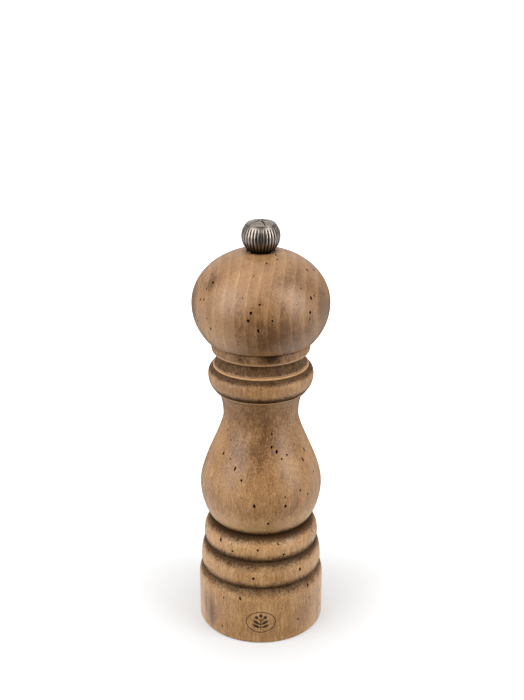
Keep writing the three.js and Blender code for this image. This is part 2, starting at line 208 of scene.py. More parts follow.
def fan(pole: int, first: int, across: int, forwards: bool) -> Array:
    """Numbers the triangles that join one ring to a single vertex.

    Args:
        pole: number of the single vertex.
        first: number of the ring's first vertex.
        across: vertices in the ring.
        forwards: take the ring in its own order, or else backwards.

    Returns:
        Rows of three vertex numbers.
    """
    j = np.arange(across)
    here, there = first + j, first + (j + 1) % across
    pair = (here, there) if forwards else (there, here)
    return np.stack([np.full(across, pole), *pair], axis=1)


def spun(section: Array, bearings: int, looped: bool = True, shaper: Shaper | None = None) -> Skin:
    """Turns a section about the mill's axis as it is, and then shapes its rings.

    A vertex stands at (r cos b, r sin b, z), where r and z come from the section, and the shaper may change
    both by the bearing b.

    Args:
        section: (radius, height) points; the solid lies to the left of their direction.
        bearings: vertices in each ring.
        looped: False if the section starts and ends on the axis.
        shaper: takes arrays of radius, height and bearing and gives the new radius and height.

    Returns:
        The closed skin.
    """
    inner = section if looped else section[1:-1]
    bearing = TAU * np.arange(bearings) / bearings
    radius = np.broadcast_to(inner[:, :1], (len(inner), bearings))
    height = np.broadcast_to(inner[:, 1:], (len(inner), bearings))
    if shaper:
        radius, height = shaper(radius, height, bearing[None, :])
    vertices = np.stack([radius * np.cos(bearing), radius * np.sin(bearing), height], axis=-1).reshape(-1, 3)
    triangles = np.zeros((0, 3), int)
    if not looped:
        low, high = len(vertices), len(vertices) + 1
        vertices = np.vstack([vertices, [[0.0, 0.0, height[0].mean()], [0.0, 0.0, height[-1].mean()]]])
        last = (len(inner) - 1) * bearings
        triangles = np.vstack([fan(low, 0, bearings, False), fan(high, last, bearings, True)])
    return Skin(vertices, ring_grid(len(inner), bearings, looped, True), triangles)


def turned(
    outline: Array, bearings: int, spacing: Spacing, looped: bool = True, shaper: Shaper | None = None
) -> Skin:
    """Wears a sharp outline, spaces its rings and turns it about the mill's axis."""
    return spun(settle(outline, spacing, looped), bearings, looped, shaper)


def gathered(skins: list[Skin]) -> Skin:
    """Puts several skins into one, keeping each closed on its own."""
    starts = np.cumsum([0] + [len(skin.vertices) for skin in skins[:-1]])
    return Skin(
        np.vstack([skin.vertices for skin in skins]),
        np.vstack([skin.quads + start for skin, start in zip(skins, starts)]),
        np.vstack([skin.triangles + start for skin, start in zip(skins, starts)]),
    )


def make_object(name: str, skin: Skin, materials: list[bpy.types.Material]) -> bpy.types.Object:
    """Writes a skin into a new smooth-shaded object at the origin.

    Args:
        name: the piece's name.
        skin: its surface in millimetres.
        materials: its material slots.

    Returns:
        The new object, linked to the scene.
    """
    mesh = bpy.data.meshes.new(name)
    mesh.vertices.add(len(skin.vertices))
    mesh.vertices.foreach_set("co", (skin.vertices * METRES).ravel())
    corners = np.concatenate([skin.quads.ravel(), skin.triangles.ravel()])
    mesh.loops.add(len(corners))
    mesh.loops.foreach_set("vertex_index", corners)
    sides = np.r_[np.full(len(skin.quads), 4), np.full(len(skin.triangles), 3)]
    mesh.polygons.add(len(sides))
    mesh.polygons.foreach_set("loop_start", np.r_[0, np.cumsum(sides)[:-1]])
    for note, values in skin.notes.items():
        mesh.attributes.new(note, "FLOAT", "POINT").data.foreach_set("value", values)
    mesh.update(calc_edges=True)
    mesh.validate()
    mesh.shade_smooth()
    for material in materials:
        mesh.materials.append(material)
    piece = bpy.data.objects.new(name, mesh)
    bpy.context.scene.collection.objects.link(piece)
    return piece


def crease(mesh: bpy.types.Mesh, degrees: float) -> None:
    """Marks the edges where two faces meet at more than an angle as sharp.

    Args:
        mesh: the mesh to mark.
        degrees: the least angle of a sharp edge.
    """
    normals = np.zeros(len(mesh.polygons) * 3, np.float32)
    mesh.polygons.foreach_get("normal", normals)
    normals = normals.reshape(-1, 3)
    loop_edges = np.zeros(len(mesh.loops), np.int32)
    mesh.loops.foreach_get("edge_index", loop_edges)
    sides = np.zeros(len(mesh.polygons), np.int32)
    mesh.polygons.foreach_get("loop_total", sides)
    faces = np.repeat(np.arange(len(mesh.polygons)), sides)
    order = np.argsort(loop_edges, kind="stable")
    edges, first = np.unique(loop_edges[order], return_index=True)
    pair = faces[order][np.minimum(np.stack([first, first + 1]), len(order) - 1)]
    likeness = (normals[pair[0]] * normals[pair[1]]).sum(axis=1)
    sharp = np.zeros(len(mesh.edges), bool)
    sharp[edges] = likeness < np.cos(np.radians(degrees))
    marks = mesh.attributes.get("sharp_edge") or mesh.attributes.new("sharp_edge", "BOOLEAN", "EDGE")
    marks.data.foreach_set("value", sharp)


def dress(piece: bpy.types.Object, body: str, *nodes: str, slot: str) -> None:
    """Makes a piece ride on a body and stand for the frame's own nodes.

    Args:
        piece: the piece.
        body: the body that it moves with.
        nodes: the nodes that it stands for.
        slot: the record's material slot; not used.
    """
    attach(piece, body)
    if nodes:
        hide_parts(*nodes)
    log.info("%s rides on %s: %d vertices", piece.name, body, len(piece.data.vertices))


# --------------------------------------------------------------------------------------------------
# Finishes


def shade(code: str) -> tuple[float, float, float, float]:
    """Turns an sRGB colour into a linear one.

    Args:
        code: hex value such as "B5926F".

    Returns:
        Linear red, green, blue and alpha.
    """
    level = np.array([int(code[k : k + 2], 16) for k in (0, 2, 4)]) / 255.0
    linear = np.where(level <= 0.04045, level / 12.92, ((level + 0.055) / 1.055) ** 2.4)
    return (*(float(part) for part in linear), 1.0)


def add(tree: Tree, kind: str, sockets: dict[Any, Any] | None = None, **settings: Any) -> bpy.types.Node:
    """Adds one node.

    Args:
        tree: the node tree.
        kind: the node's type, without its "ShaderNode".
        sockets: input name or number to a value, or to the output socket that feeds it.
        settings: the node's own properties.

    Returns:
        The new node.
    """
    node = tree.nodes.new("ShaderNode" + kind)
    for key, value in settings.items():
        setattr(node, key, value)
    for key, value in (sockets or {}).items():
        if isinstance(value, bpy.types.NodeSocket):
            tree.links.new(value, node.inputs[key])
        else:
            node.inputs[key].default_value = value
    return node


def blank(name: str) -> tuple[bpy.types.Material, Tree]:
    """Makes a material that holds only its output node.

    Args:
        name: the material's name.

    Returns:
        The material and its node tree.
    """
    material = bpy.data.materials.new(name)
    material.use_nodes = True
    tree = material.node_tree
    tree.nodes.clear()
    add(tree, "OutputMaterial")
    return material, tree


def finish_with(tree: Tree, sockets: dict[Any, Any]) -> None:
    """Adds the principled shader with its sockets and joins it to the output."""
    shader = add(tree, "BsdfPrincipled", sockets)
    tree.links.new(shader.outputs[0], tree.nodes["Material Output"].inputs[0])


# Sockets of the Mix node in its colour form, by number, because its names repeat.
FACTOR, FIRST, SECOND, MIXED = 0, 6, 7, 2

# Map Range's soft step, level at both ends. Its sockets by number are the value, where the step starts and
# ends, and what it gives there, 0 and 1 unless they are set.
SOFT = "SMOOTHSTEP"

WHITE = (1.0, 1.0, 1.0, 1.0)


def total(tree: Tree, *signals: tuple[Any, float], level: float = 0.5) -> Any:
    """Adds weight * (signal - 0.5) for each signal to a level.

    Args:
        tree: the node tree.
        signals: pairs of a socket and its weight.
        level: the sum when every signal is 0.5.

    Returns:
        The socket of the sum.
    """
    running: Any = level - 0.5 * sum(weight for _, weight in signals)
    for signal, weight in signals:
        running = add(tree, "Math", {0: signal, 1: weight, 2: running}, operation="MULTIPLY_ADD").outputs[0]
    return running


@dataclass(frozen=True)
class WaxedBeech:
    """Turned beech, stained, rubbed back and waxed.

    The eye gets a mid tan with upright fibres and short dark ray flecks, soft growth-ring bands, darker
    patches of stain and of painted shade, paler patches of painted light, nearly black-brown wash in the
    grooves with painted shade up the rings' undersides and round the knob's foot, near-black dots of
    painted shade for pin holes, and a low satin sheen from the wax.

    Attributes:
        name: the material's name.
        heart: x and y in millimetres of the log's centre, which sets how the growth rings cross the piece.
        patch_seed: moves the stain patches.
        ring_weight: how strongly the growth rings show.
        grain: how strongly the fibres show.
        pale: colour of the wood's highest tone.
        tan: colour of its middle tone.
        brown: colour of its lowest tone.
        wash_and_shade: colour of the wash and the painted shade in the grooves and round the knob's foot.
        worn: colour of rubbed arrises.
        ray: colour of the ray flecks.
        spatter: colour of spattered stain.
        pin: colour of pin holes, drawn as near-black dots: painted shade of holes that the mesh doesn't cut.
        ring_gap: distance between growth rings in millimetres.
        streak_width: width of a streak along the grain in millimetres.
        fibre_width: width of a fibre, coarser than a real one so that it shows.
        fleck_width: width of a ray fleck's cell in millimetres.
        patch_width: width of a stain patch in millimetres.
    """

    name: str
    heart: Point
    patch_seed: float
    ring_weight: float = 0.08
    grain: float = 1.0
    pale: str = "C99F72"
    tan: str = "A47A51"
    brown: str = "6F4B27"
    wash_and_shade: str = "3A240F"
    worn: str = "CFA073"
    ray: str = "5E3D22"
    spatter: str = "4A2E18"
    pin: str = "21150C"
    ring_gap: float = 4.2
    streak_width: float = 2.4
    fibre_width: float = 0.45
    fleck_width: float = 1.0
    patch_width: float = 15.0

    def scaled(self, tree: Tree, across: float, along: float, shift: float = 0.0) -> Any:
        """Counts object coordinates in units of across by across by along millimetres.

        Args:
            tree: the node tree.
            across: unit of X and Y.
            along: unit of Z.
            shift: moves the pattern, so that two of one size don't coincide.

        Returns:
            The socket of the coordinates.
        """
        place = add(tree, "TexCoord").outputs["Object"]
        scale = (1.0 / (across * METRES), 1.0 / (across * METRES), 1.0 / (along * METRES))
        moved = (shift, shift * 0.7, shift * 1.3)
        return add(tree, "Mapping", {"Vector": place, "Scale": scale, "Location": moved}).outputs[0]

    def noise(self, tree: Tree, across: float, along: float, detail: float, shift: float = 0.0) -> Any:
        """Makes noise from soft lumps.

        Args:
            tree: the node tree.
            across: width of a lump in millimetres.
            along: height of a lump in millimetres.
            detail: how many finer layers are added.
            shift: moves the pattern.

        Returns:
            The socket of the noise.
        """
        place = self.scaled(tree, across, along, shift)
        sockets = {"Vector": place, "Scale": 1.0, "Detail": detail, "Roughness": 0.55}
        return add(tree, "TexNoise", sockets).outputs["Fac"]

    def growth_rings(self, tree: Tree) -> Any:
        """Makes saw-toothed bands of even width, counted outwards from the log's heart.

        The band is t cubed times a soft fall near its end, where t runs from 0 to 1 across it.

        Args:
            tree: the node tree.

        Returns:
            The socket of the bands.
        """
        place = add(tree, "TexCoord").outputs["Object"]
        centre = (-self.heart[0] * METRES, -self.heart[1] * METRES, 0.0)
        centred = add(tree, "Mapping", {"Vector": place, "Location": centre, "Scale": (1.0, 1.0, 0.04)})
        away = add(tree, "VectorMath", {0: centred.outputs[0]}, operation="LENGTH").outputs["Value"]
        wander = self.noise(tree, 26.0, 90.0, 2.0, 3.1)
        swayed = add(tree, "Math", {0: wander, 1: 3.5 * METRES, 2: away}, operation="MULTIPLY_ADD").outputs[0]
        rate = 1.0 / (self.ring_gap * METRES)
        count = add(tree, "Math", {0: swayed, 1: rate}, operation="MULTIPLY").outputs[0]
        part = add(tree, "Math", {0: count}, operation="FRACT").outputs[0]
        rise = add(tree, "Math", {0: part, 1: 3.0}, operation="POWER").outputs[0]
        fall = add(tree, "MapRange", {0: part, 1: 1.0, 2: 0.93}, interpolation_type=SOFT).outputs[0]
        return add(tree, "Math", {0: rise, 1: fall}, operation="MULTIPLY").outputs[0]

    def flecks(self, tree: Tree, width: float, length: float, size: float, share: float) -> Any:
        """Dark dashes: the cores of some of the cells of a drawn-out cell pattern.

        Args:
            tree: the node tree.
            width: cell width in millimetres.
            length: cell length in millimetres.
            size: radius of a dash as a part of its cell.
            share: part of the cells that hold none.

        Returns:
            The socket of the mask.
        """
        cells = add(tree, "TexVoronoi", {"Vector": self.scaled(tree, width, length), "Scale": 1.0})
        edges = {0: cells.outputs["Distance"], 1: size, 2: size * 0.4}
        core = add(tree, "MapRange", edges, interpolation_type=SOFT).outputs[0]
        chance = add(tree, "SeparateColor", {0: cells.outputs["Color"]}).outputs[0]
        chosen = add(tree, "Math", {0: chance, 1: share}, operation="GREATER_THAN").outputs[0]
        return add(tree, "Math", {0: core, 1: chosen}, operation="MULTIPLY").outputs[0]

    def soaked_and_shaded(self, tree: Tree, note: Any, coarse: Any, fine: Any) -> Any:
        """How dark the wash and the painted shade are: the painted amount, broken up by noise most where it
        is half soaked.

        Args:
            tree: the node tree.
            note: the painted amount.
            coarse: noise that shapes runs and bare places.
            fine: noise that speckles.

        Returns:
            The socket of the amount, from 0 to 1.
        """
        bare = add(tree, "Math", {0: 1.0, 1: note}, operation="SUBTRACT").outputs[0]
        half = add(tree, "Math", {0: note, 1: bare}, operation="MULTIPLY").outputs[0]
        broken = total(tree, (coarse, 3.6), (fine, 5.5), level=0.0)
        edge = add(tree, "Math", {0: half, 1: broken, 2: note}, operation="MULTIPLY_ADD").outputs[0]
        return add(tree, "MapRange", {0: edge, 1: 0.03, 2: 1.0, 3: 0.0, 4: 0.97}).outputs[0]

    def coated(self, tree: Tree, under: Any, *coats: tuple[str, Any, float, float, float]) -> Any:
        """Lays colours one over another, each where its signal rises.

        Args:
            tree: the node tree.
            under: colour or socket at the bottom.
            coats: hex colour, signal, the signal's values where the colour starts to show and shows in full,
                and how strongly it then shows.

        Returns:
            The socket of the colour on top.
        """
        for code, signal, low, high, most in coats:
            amount = add(tree, "MapRange", {0: signal, 1: low, 2: high, 4: most}, interpolation_type=SOFT)
            sockets = {FACTOR: amount.outputs[0], FIRST: under, SECOND: shade(code)}
            under = add(tree, "Mix", sockets, data_type="RGBA").outputs[MIXED]
        return under

    def make(self) -> bpy.types.Material:
        """Builds the material.

        Returns:
            The material, joined to its output.
        """
        material, tree = blank(self.name)
        streaks = self.noise(tree, self.streak_width, 45.0, 3.0)
        fibres = self.noise(tree, self.fibre_width, 5.0, 3.0)
        patches = self.noise(tree, self.patch_width, self.patch_width * 1.3, 3.0, self.patch_seed)
        clouds = self.noise(tree, 4.5, 6.0, 5.0, self.patch_seed + 4.0)
        coarse = self.noise(tree, 4.5, 3.5, 3.0)
        dust = self.noise(tree, 0.42, 0.8, 2.0)
        grit = self.noise(tree, 0.8, 0.9, 3.0, 5.5)
        rays = self.flecks(tree, self.fleck_width, self.fleck_width * 3.4, 0.2, 0.3)
        # Near-black dots for pin holes: painted shade of holes that the mesh doesn't cut.
        pin_holes = self.flecks(tree, 2.4, 3.2, 0.12, 0.74)
        spots = self.flecks(tree, 1.1, 1.3, 0.2, 0.45)
        places = {0: self.noise(tree, 9.0, 9.0, 2.0, self.patch_seed + 9.0), 1: 0.58, 2: 0.68}
        spattered = add(tree, "MapRange", places, interpolation_type=SOFT).outputs[0]
        specks = add(tree, "Math", {0: spots, 1: spattered}, operation="MULTIPLY").outputs[0]
        stain_and_shade, worn, smudge_and_painted_light = (
            add(tree, "Attribute", attribute_name=note, attribute_type="GEOMETRY").outputs["Fac"]
            for note in ("stain_and_shade", "worn", "smudge_and_painted_light")
        )

        tone = total(
            tree,
            (streaks, 0.3),
            (self.growth_rings(tree), self.ring_weight),
            (patches, 0.48),
            (clouds, 0.36),
            (fibres, 0.6 * self.grain),
            (dust, 0.5 * self.grain),
        )
        # The patches darken or lighten the tone: stains, painted shade and painted light.
        tone_with_smudge_and_light = add(tree, "Math", {0: smudge_and_painted_light, 1: -0.5, 2: tone}, operation="MULTIPLY_ADD").outputs[0]
        rubbed = total(tree, (worn, 1.0), (coarse, 0.9), (dust, 1.0), level=0.12)
        wash_and_shade_amount = self.soaked_and_shaded(tree, stain_and_shade, coarse, grit)
        wood = self.coated(
            tree,
            shade(self.brown),
            (self.tan, tone_with_smudge_and_light, 0.05, 0.5, 1.0),
            (self.pale, tone_with_smudge_and_light, 0.45, 0.85, 1.0),
            (self.ray, rays, 0.0, 1.0, 0.6),
            (self.worn, rubbed, 0.0, 0.45, 0.9),
        )
        # Wash and painted shade in one colour: in the grooves, up the rings' undersides and round the knob's
        # foot.
        washed_and_shaded_wood = add(tree, "Mix", {FACTOR: wash_and_shade_amount, FIRST: wood, SECOND: shade(self.wash_and_shade)}, data_type="RGBA")
        colour = self.coated(
            tree,
            washed_and_shaded_wood.outputs[MIXED],
            (self.spatter, specks, 0.0, 1.0, 0.6),
            (self.pin, pin_holes, 0.0, 1.0, 0.8),
        )

        grain = add(tree, "Math", {0: fibres, 1: 0.5, 2: dust}, operation="MULTIPLY_ADD").outputs[0]
        holes = add(tree, "Math", {0: rays, 1: 0.25, 2: pin_holes}, operation="MULTIPLY_ADD").outputs[0]
        relief = add(tree, "Math", {0: holes, 1: -2.5, 2: grain}, operation="MULTIPLY_ADD").outputs[0]
        bump = add(tree, "Bump", {"Strength": 0.35, "Distance": 0.05 * METRES, "Height": relief}).outputs[0]
        waxed = add(tree, "MapRange", {0: clouds, 1: 0.3, 2: 0.7, 3: 0.34, 4: 0.46}).outputs[0]
        gloss = add(tree, "Math", {0: wash_and_shade_amount, 1: 0.25, 2: waxed}, operation="MULTIPLY_ADD").outputs[0]
        sheen = add(tree, "MapRange", {0: wash_and_shade_amount, 1: 0.0, 2: 1.0, 3: 0.65, 4: 0.12}).outputs[0]
        surface = {"Base Color": colour, "Roughness": gloss, "Specular IOR Level": sheen, "Normal": bump}
        finish_with(tree, surface | {"IOR": 1.48})
        return material


@dataclass(frozen=True)
class DarkWood:
    """Nearly black-brown wood, matt and slightly uneven: painted shade on the walls of a wormhole, and the
    char under a burnt mark.

    Attributes:
        name: the material's name.
        dark: colour of its hollows.
        light: colour of its lumps.
        roughness: how matt it is.
        lump: size of a lump in millimetres.
    """

    name: str
    dark: str
    light: str
    roughness: float = 0.9
    lump: float = 0.5

    def make(self) -> bpy.types.Material:
        """Builds the material.

        Returns:
            The material, joined to its output.
        """
        material, tree = blank(self.name)
        place = add(tree, "TexCoord").outputs["Object"]
        noise = add(tree, "TexNoise", {"Vector": place, "Scale": 1.0 / (self.lump * METRES), "Detail": 3.0})
        sockets = {FACTOR: noise.outputs["Fac"], FIRST: shade(self.dark), SECOND: shade(self.light)}
        colour = add(tree, "Mix", sockets, data_type="RGBA").outputs[MIXED]
        finish_with(tree, {"Base Color": colour, "Roughness": self.roughness, "IOR": 1.45})
        return material


@dataclass(frozen=True)
class AgedPewter:
    """Cast pewter, blackened and then polished back on its high places.

    The eye gets bright, slightly warm metal on the crests of the flutes, a brown-black patina in the
    hollows and towards the foot, and painted shade round the cap's edge.

    Attributes:
        name: the material's name.
        bright: colour of the polished metal.
        patina: colour of the blackened metal.
        cloud: width of a cloud of patina in millimetres.
        pit: width of a casting pit in millimetres.
    """

    name: str = "pewter_cast_antiqued"
    bright: str = "A2988D"
    patina: str = "251D16"
    cloud: float = 2.2
    pit: float = 0.25

    def make(self) -> bpy.types.Material:
        """Builds the material.

        Returns:
            The material, joined to its output.
        """
        material, tree = blank(self.name)
        place = add(tree, "TexCoord").outputs["Object"]
        sockets = {"Vector": place, "Scale": 1.0 / (self.cloud * METRES), "Detail": 5.0}
        cloud = add(tree, "TexNoise", sockets).outputs["Fac"]
        sockets = {"Vector": place, "Scale": 1.0 / (self.pit * METRES), "Detail": 2.0}
        pitting = add(tree, "TexNoise", sockets).outputs["Fac"]
        recess = add(tree, "Attribute", attribute_name="recess", attribute_type="GEOMETRY").outputs["Fac"]
        uneven = add(tree, "Math", {0: cloud, 1: 0.5, 2: recess}, operation="MULTIPLY_ADD").outputs[0]
        amount = add(tree, "MapRange", {0: uneven, 1: 0.3, 2: 0.85, 3: 0.05, 4: 0.97}).outputs[0]
        sockets = {FACTOR: amount, FIRST: shade(self.bright), SECOND: shade(self.patina)}
        colour = add(tree, "Mix", sockets, data_type="RGBA").outputs[MIXED]
        rough = add(tree, "MapRange", {0: uneven, 1: 0.2, 2: 0.9, 3: 0.22, 4: 0.5}).outputs[0]
        bump = add(tree, "Bump", {"Strength": 0.25, "Distance": 0.03 * METRES, "Height": pitting}).outputs[0]
        finish_with(tree, {"Base Color": colour, "Metallic": 1.0, "Roughness": rough, "Normal": bump})
        return material


@dataclass(frozen=True)
class MachinedMetal:
    """A metal part of the grinder as it leaves the press, lathe or plating bath.

    The eye gets an even metal with a faint cloud of tarnish and fine tool lines that run round the axis.

    Attributes:
        name: the material's name.
        clean: colour of the bare metal.
        tarnish: colour of the cloud over it.
        roughness: gloss of the clean metal.
        line_gap: distance between tool lines in millimetres, coarser than real ones so that they show.
        line_strength: how strongly the lines show.
        cloud: width of a cloud of tarnish in millimetres.
    """

    name: str
    clean: str
    tarnish: str
    roughness: float
    line_gap: float = 0.25
    line_strength: float = 0.2
    cloud: float = 1.6

    def make(self) -> bpy.types.Material:
        """Builds the material.

        Returns:
            The material, joined to its output.
        """
        material, tree = blank(self.name)
        place = add(tree, "TexCoord").outputs["Object"]
        sockets = {"Vector": place, "Scale": 1.0 / (self.cloud * METRES), "Detail": 5.0}
        cloud = add(tree, "TexNoise", sockets).outputs["Fac"]
        level = add(tree, "Mapping", {"Vector": place, "Scale": (1.0, 1.0, 0.3)}).outputs[0]
        away = add(tree, "VectorMath", {0: level}, operation="LENGTH").outputs["Value"]
        rate = 1.0 / (self.line_gap * METRES)
        count = add(tree, "Math", {0: away, 1: rate}, operation="MULTIPLY").outputs[0]
        lines = add(tree, "TexNoise", {"W": count, "Scale": 1.0, "Detail": 1.0}, noise_dimensions="1D")
        amount = add(tree, "MapRange", {0: cloud, 1: 0.42, 2: 0.75, 3: 0.0, 4: 0.45}).outputs[0]
        sockets = {FACTOR: amount, FIRST: shade(self.clean), SECOND: shade(self.tarnish)}
        colour = add(tree, "Mix", sockets, data_type="RGBA").outputs[MIXED]
        sockets = {0: cloud, 1: 0.3, 2: 0.7, 3: self.roughness, 4: self.roughness + 0.14}
        rough = add(tree, "MapRange", sockets).outputs[0]
        sockets = {"Strength": self.line_strength, "Distance": 0.02 * METRES, "Height": lines.outputs["Fac"]}
        bump = add(tree, "Bump", sockets).outputs[0]
        finish_with(tree, {"Base Color": colour, "Metallic": 1.0, "Roughness": rough, "Normal": bump})
        return material


class Finish(Enum):
    """The mill's finishes."""

    BODY_BEECH = WaxedBeech(
        "beech_turned_waxed_body",
        heart=(-66.0, 14.0),
        patch_seed=2.3,
        grain=1.55,
        pale="CC9F6D",
        tan="A67A4D",
        brown="6C4826",
    )
    HEAD_BEECH = WaxedBeech("beech_turned_waxed_head", heart=(-72.0, -6.0), patch_seed=7.9, ring_weight=0.2)
    # The wormholes' walls are nearly black: painted shade inside the holes.
    WORMHOLE = DarkWood("beech_wormhole_painted_shade", dark="1C1009", light="3A2414")
    BURNT = DarkWood("beech_burnt_char", dark="2A1A0F", light="50361F", roughness=0.75, lump=0.7)
    PEWTER = AgedPewter()
    PLATED = MachinedMetal("steel_zinc_plated", clean="C4C8CB", tarnish="8D9193", roughness=0.3)
    TOOL_STEEL = MachinedMetal("steel_hardened_oiled", clean="8A8B8E", tarnish="4B4844", roughness=0.34)
    SPRING_STEEL = MachinedMetal("steel_spring_drawn", clean="B2B6BA", tarnish="77797B", roughness=0.24)
    BRASS = MachinedMetal("brass_turned", clean="D6B26A", tarnish="8E6E36", roughness=0.26)


class Workshop:
    """Makes each finish once and hands it out."""

    def __init__(self) -> None:
        """Starts with no material made."""
        self.made: dict[Finish, bpy.types.Material] = {}

    def get(self, finish: Finish) -> bpy.types.Material:
        """Gives a finish's material, made on first use.

        Args:
            finish: the finish.

        Returns:
            Its material.
        """
        if finish not in self.made:
            self.made[finish] = finish.value.make()
        return self.made[finish]


# --------------------------------------------------------------------------------------------------
# Wood


@dataclass(frozen=True)
class Wormhole:
    """A beetle's exit hole.

    Attributes:
        bearing: degrees from the front towards +X.
        height: height of its middle in millimetres.
        width: its size round the mill in millimetres.
        length: its size up the mill in millimetres.
    """

    bearing: float
    height: float
    width: float
    length: float


@dataclass(frozen=True)
class SmudgeOrPaintedLight:
    """A soft patch painted darker or paler: some are stains, some painted shade and some painted light.

    Attributes:
        bearing: degrees from the front towards +X.
        height: height of its middle in millimetres.
        across: its reach round the mill in millimetres.
        along: its reach up the mill in millimetres.
        depth: its strength, below 0 for a pale patch.
    """

    bearing: float
    height: float
    across: float
    along: float
    depth: float


HOLE_ENLARGEMENT = 1.18  # listed holes are cut this much larger than their row says, so that they show
HOLE_DEPTH = 1.1  # half the depth of a plug
HOLE_SINK = 0.15  # depth of a plug's middle under the surface
HOLE_LEAN = 22.0  # most degrees that a plug leans to one side
HOLE_SIDES = 12  # vertices round a plug
HOLE_EDGE = 42.0  # degrees between two faces that make an edge sharp
SLOPE_REACH = 0.2  # the section's slope is read this far above and below a hole

HIDDEN_BEARINGS = (62.0, 298.0)  # from one side round the back to the other
SCATTERED_WIDTHS = (0.4, 0.9)
SCATTERED_STRETCH = (1.0, 2.3)  # length over width
CLEARANCE = 2.6  # least distance between the middles of two holes


def enlarged(*rows: tuple[float, float, float, float]) -> list[Wormhole]:
    """Lists wormholes from rows of bearing, height, width and length, a little larger so that they show."""
    return [Wormhole(*row[:2], *(round(size * HOLE_ENLARGEMENT, 2) for size in row[2:])) for row in rows]


def painted_smudges_and_light(vertices: Array, smudges_and_painted_light: list[SmudgeOrPaintedLight]) -> Array:
    """Paints soft patches of stain, painted shade and painted light.

    Each adds depth * exp(-(u / across)^2 - (v / along)^2), where u goes round the piece and v up it.

    Args:
        vertices: places in millimetres.
        smudges_and_painted_light: the patches.

    Returns:
        The sum at each place.
    """
    amount = np.zeros(len(vertices))
    bearing = np.arctan2(vertices[:, 0], -vertices[:, 1])
    radius = np.hypot(vertices[:, 0], vertices[:, 1])
    for smudge_and_painted_light in smudges_and_painted_light:
        away = (bearing - np.radians(smudge_and_painted_light.bearing) + np.pi) % TAU - np.pi
        part = (away * radius / smudge_and_painted_light.across) ** 2 + ((vertices[:, 2] - smudge_and_painted_light.height) / smudge_and_painted_light.along) ** 2
        amount += smudge_and_painted_light.depth * np.exp(-part)
    return amount


def wormhole_cutter(outline: Array, holes: list[Wormhole], seed: int) -> Skin:
    """Shapes the plugs that cut a set of wormholes.

    Each plug is an ellipsoid centred just under the surface: half the hole's width across, half its length
    along the section, HOLE_DEPTH inwards, and leaning a little to one side.

    Args:
        outline: the section's outer side, from the foot up.
        holes: where they are.
        seed: seed of the lean.

    Returns:
        One closed skin for each hole, gathered.
    """
    lean = np.radians(np.random.default_rng(seed).uniform(-HOLE_LEAN, HOLE_LEAN, len(holes)))
    bearing = np.radians([hole.bearing for hole in holes])
    height = np.array([hole.height for hole in holes])
    half = np.array([(hole.width / 2, hole.length / 2) for hole in holes])
    radius, above, below = (
        np.interp(height + step, outline[:, 1], outline[:, 0]) for step in (0.0, SLOPE_REACH, -SLOPE_REACH)
    )
    tilt = np.arctan2(above - below, 2.0 * SLOPE_REACH)
    out = np.stack([np.sin(bearing), -np.cos(bearing), np.zeros_like(bearing)], axis=1)
    side = np.stack([np.cos(bearing), np.sin(bearing), np.zeros_like(bearing)], axis=1)
    rise = np.array([0.0, 0.0, 1.0])
    along = out * np.sin(tilt)[:, None] + rise * np.cos(tilt)[:, None]
    normal = out * np.cos(tilt)[:, None] - rise * np.sin(tilt)[:, None]
    first = side * np.cos(lean)[:, None] + along * np.sin(lean)[:, None]
    second = along * np.cos(lean)[:, None] - side * np.sin(lean)[:, None]
    middle = out * radius[:, None] + rise * height[:, None] - normal * HOLE_SINK
    spacing = Spacing(wear=0.02, coarse=2.0, bend=30.0)
    ball = turned(arc((0.0, 0.0), (1.0, 1.0), (-90.0, 90.0)), HOLE_SIDES, spacing, looped=False)
    plugs = []
    for k in range(len(holes)):
        axes = np.stack([first[k] * half[k, 0], second[k] * half[k, 1], normal[k] * HOLE_DEPTH])
        plugs.append(Skin(middle[k] + ball.vertices @ axes, ball.quads, ball.triangles))
    return gathered(plugs)


def bore_wormholes(wood: bpy.types.Object, cutter: Skin, lining: bpy.types.Material) -> None:
    """Cuts wormholes out of a wooden piece and lines them.

    Args:
        wood: the piece.
        cutter: plugs that don't touch each other.
        lining: the material of the holes' walls.
    """
    tool = make_object("wormhole_tool", cutter, [lining])
    cut = wood.modifiers.new("wormholes", "BOOLEAN")
    cut.operation = "DIFFERENCE"
    cut.solver = "MANIFOLD"
    cut.object = tool
    wood.data.materials.append(lining)
    tool.data.materials.clear()
    tool.data.materials.append(wood.data.materials[0])
    tool.data.materials.append(lining)
    tool.data.polygons.foreach_set("material_index", np.ones(len(tool.data.polygons), np.int32))
    graph = bpy.context.evaluated_depsgraph_get()
    bored = bpy.data.meshes.new_from_object(wood.evaluated_get(graph))
    wood.modifiers.clear()
    old = wood.data
    wood.data = bored
    bored.name = old.name
    bpy.data.meshes.remove(old)
    bpy.data.objects.remove(tool)
    bored.shade_smooth()
    crease(bored, HOLE_EDGE)
    log.info("%s has its wormholes: %d faces", wood.name, len(bored.polygons))


def scattered(outline: Array, count: int, span: Point, taken: list[Wormhole], seed: int) -> list[Wormhole]:
    """Scatters wormholes over the sides and back, clear of each other and of the listed ones.

    Args:
        outline: the section's outer side, from the foot up.
        count: holes to try.
        span: lowest and highest height.
        taken: holes that are already there.
        seed: seed of the scatter.

    Returns:
        The taken holes and the new ones.
    """
    chance = np.random.default_rng(seed)
    holes = list(taken)
    for _ in range(count):
        bearing, height = chance.uniform(*HIDDEN_BEARINGS), chance.uniform(*span)
        width = chance.uniform(*SCATTERED_WIDTHS)
        length = width * chance.uniform(*SCATTERED_STRETCH)
        radius = float(np.interp(height, outline[:, 1], outline[:, 0]))
        turns = [(bearing - hole.bearing + 180.0) % 360.0 - 180.0 for hole in holes]
        gaps = [np.hypot(np.radians(turn) * radius, height - hole.height) for turn, hole in zip(turns, holes)]
        if min(gaps) > CLEARANCE:
            holes.append(Wormhole(bearing, height, width, length))
    return holes


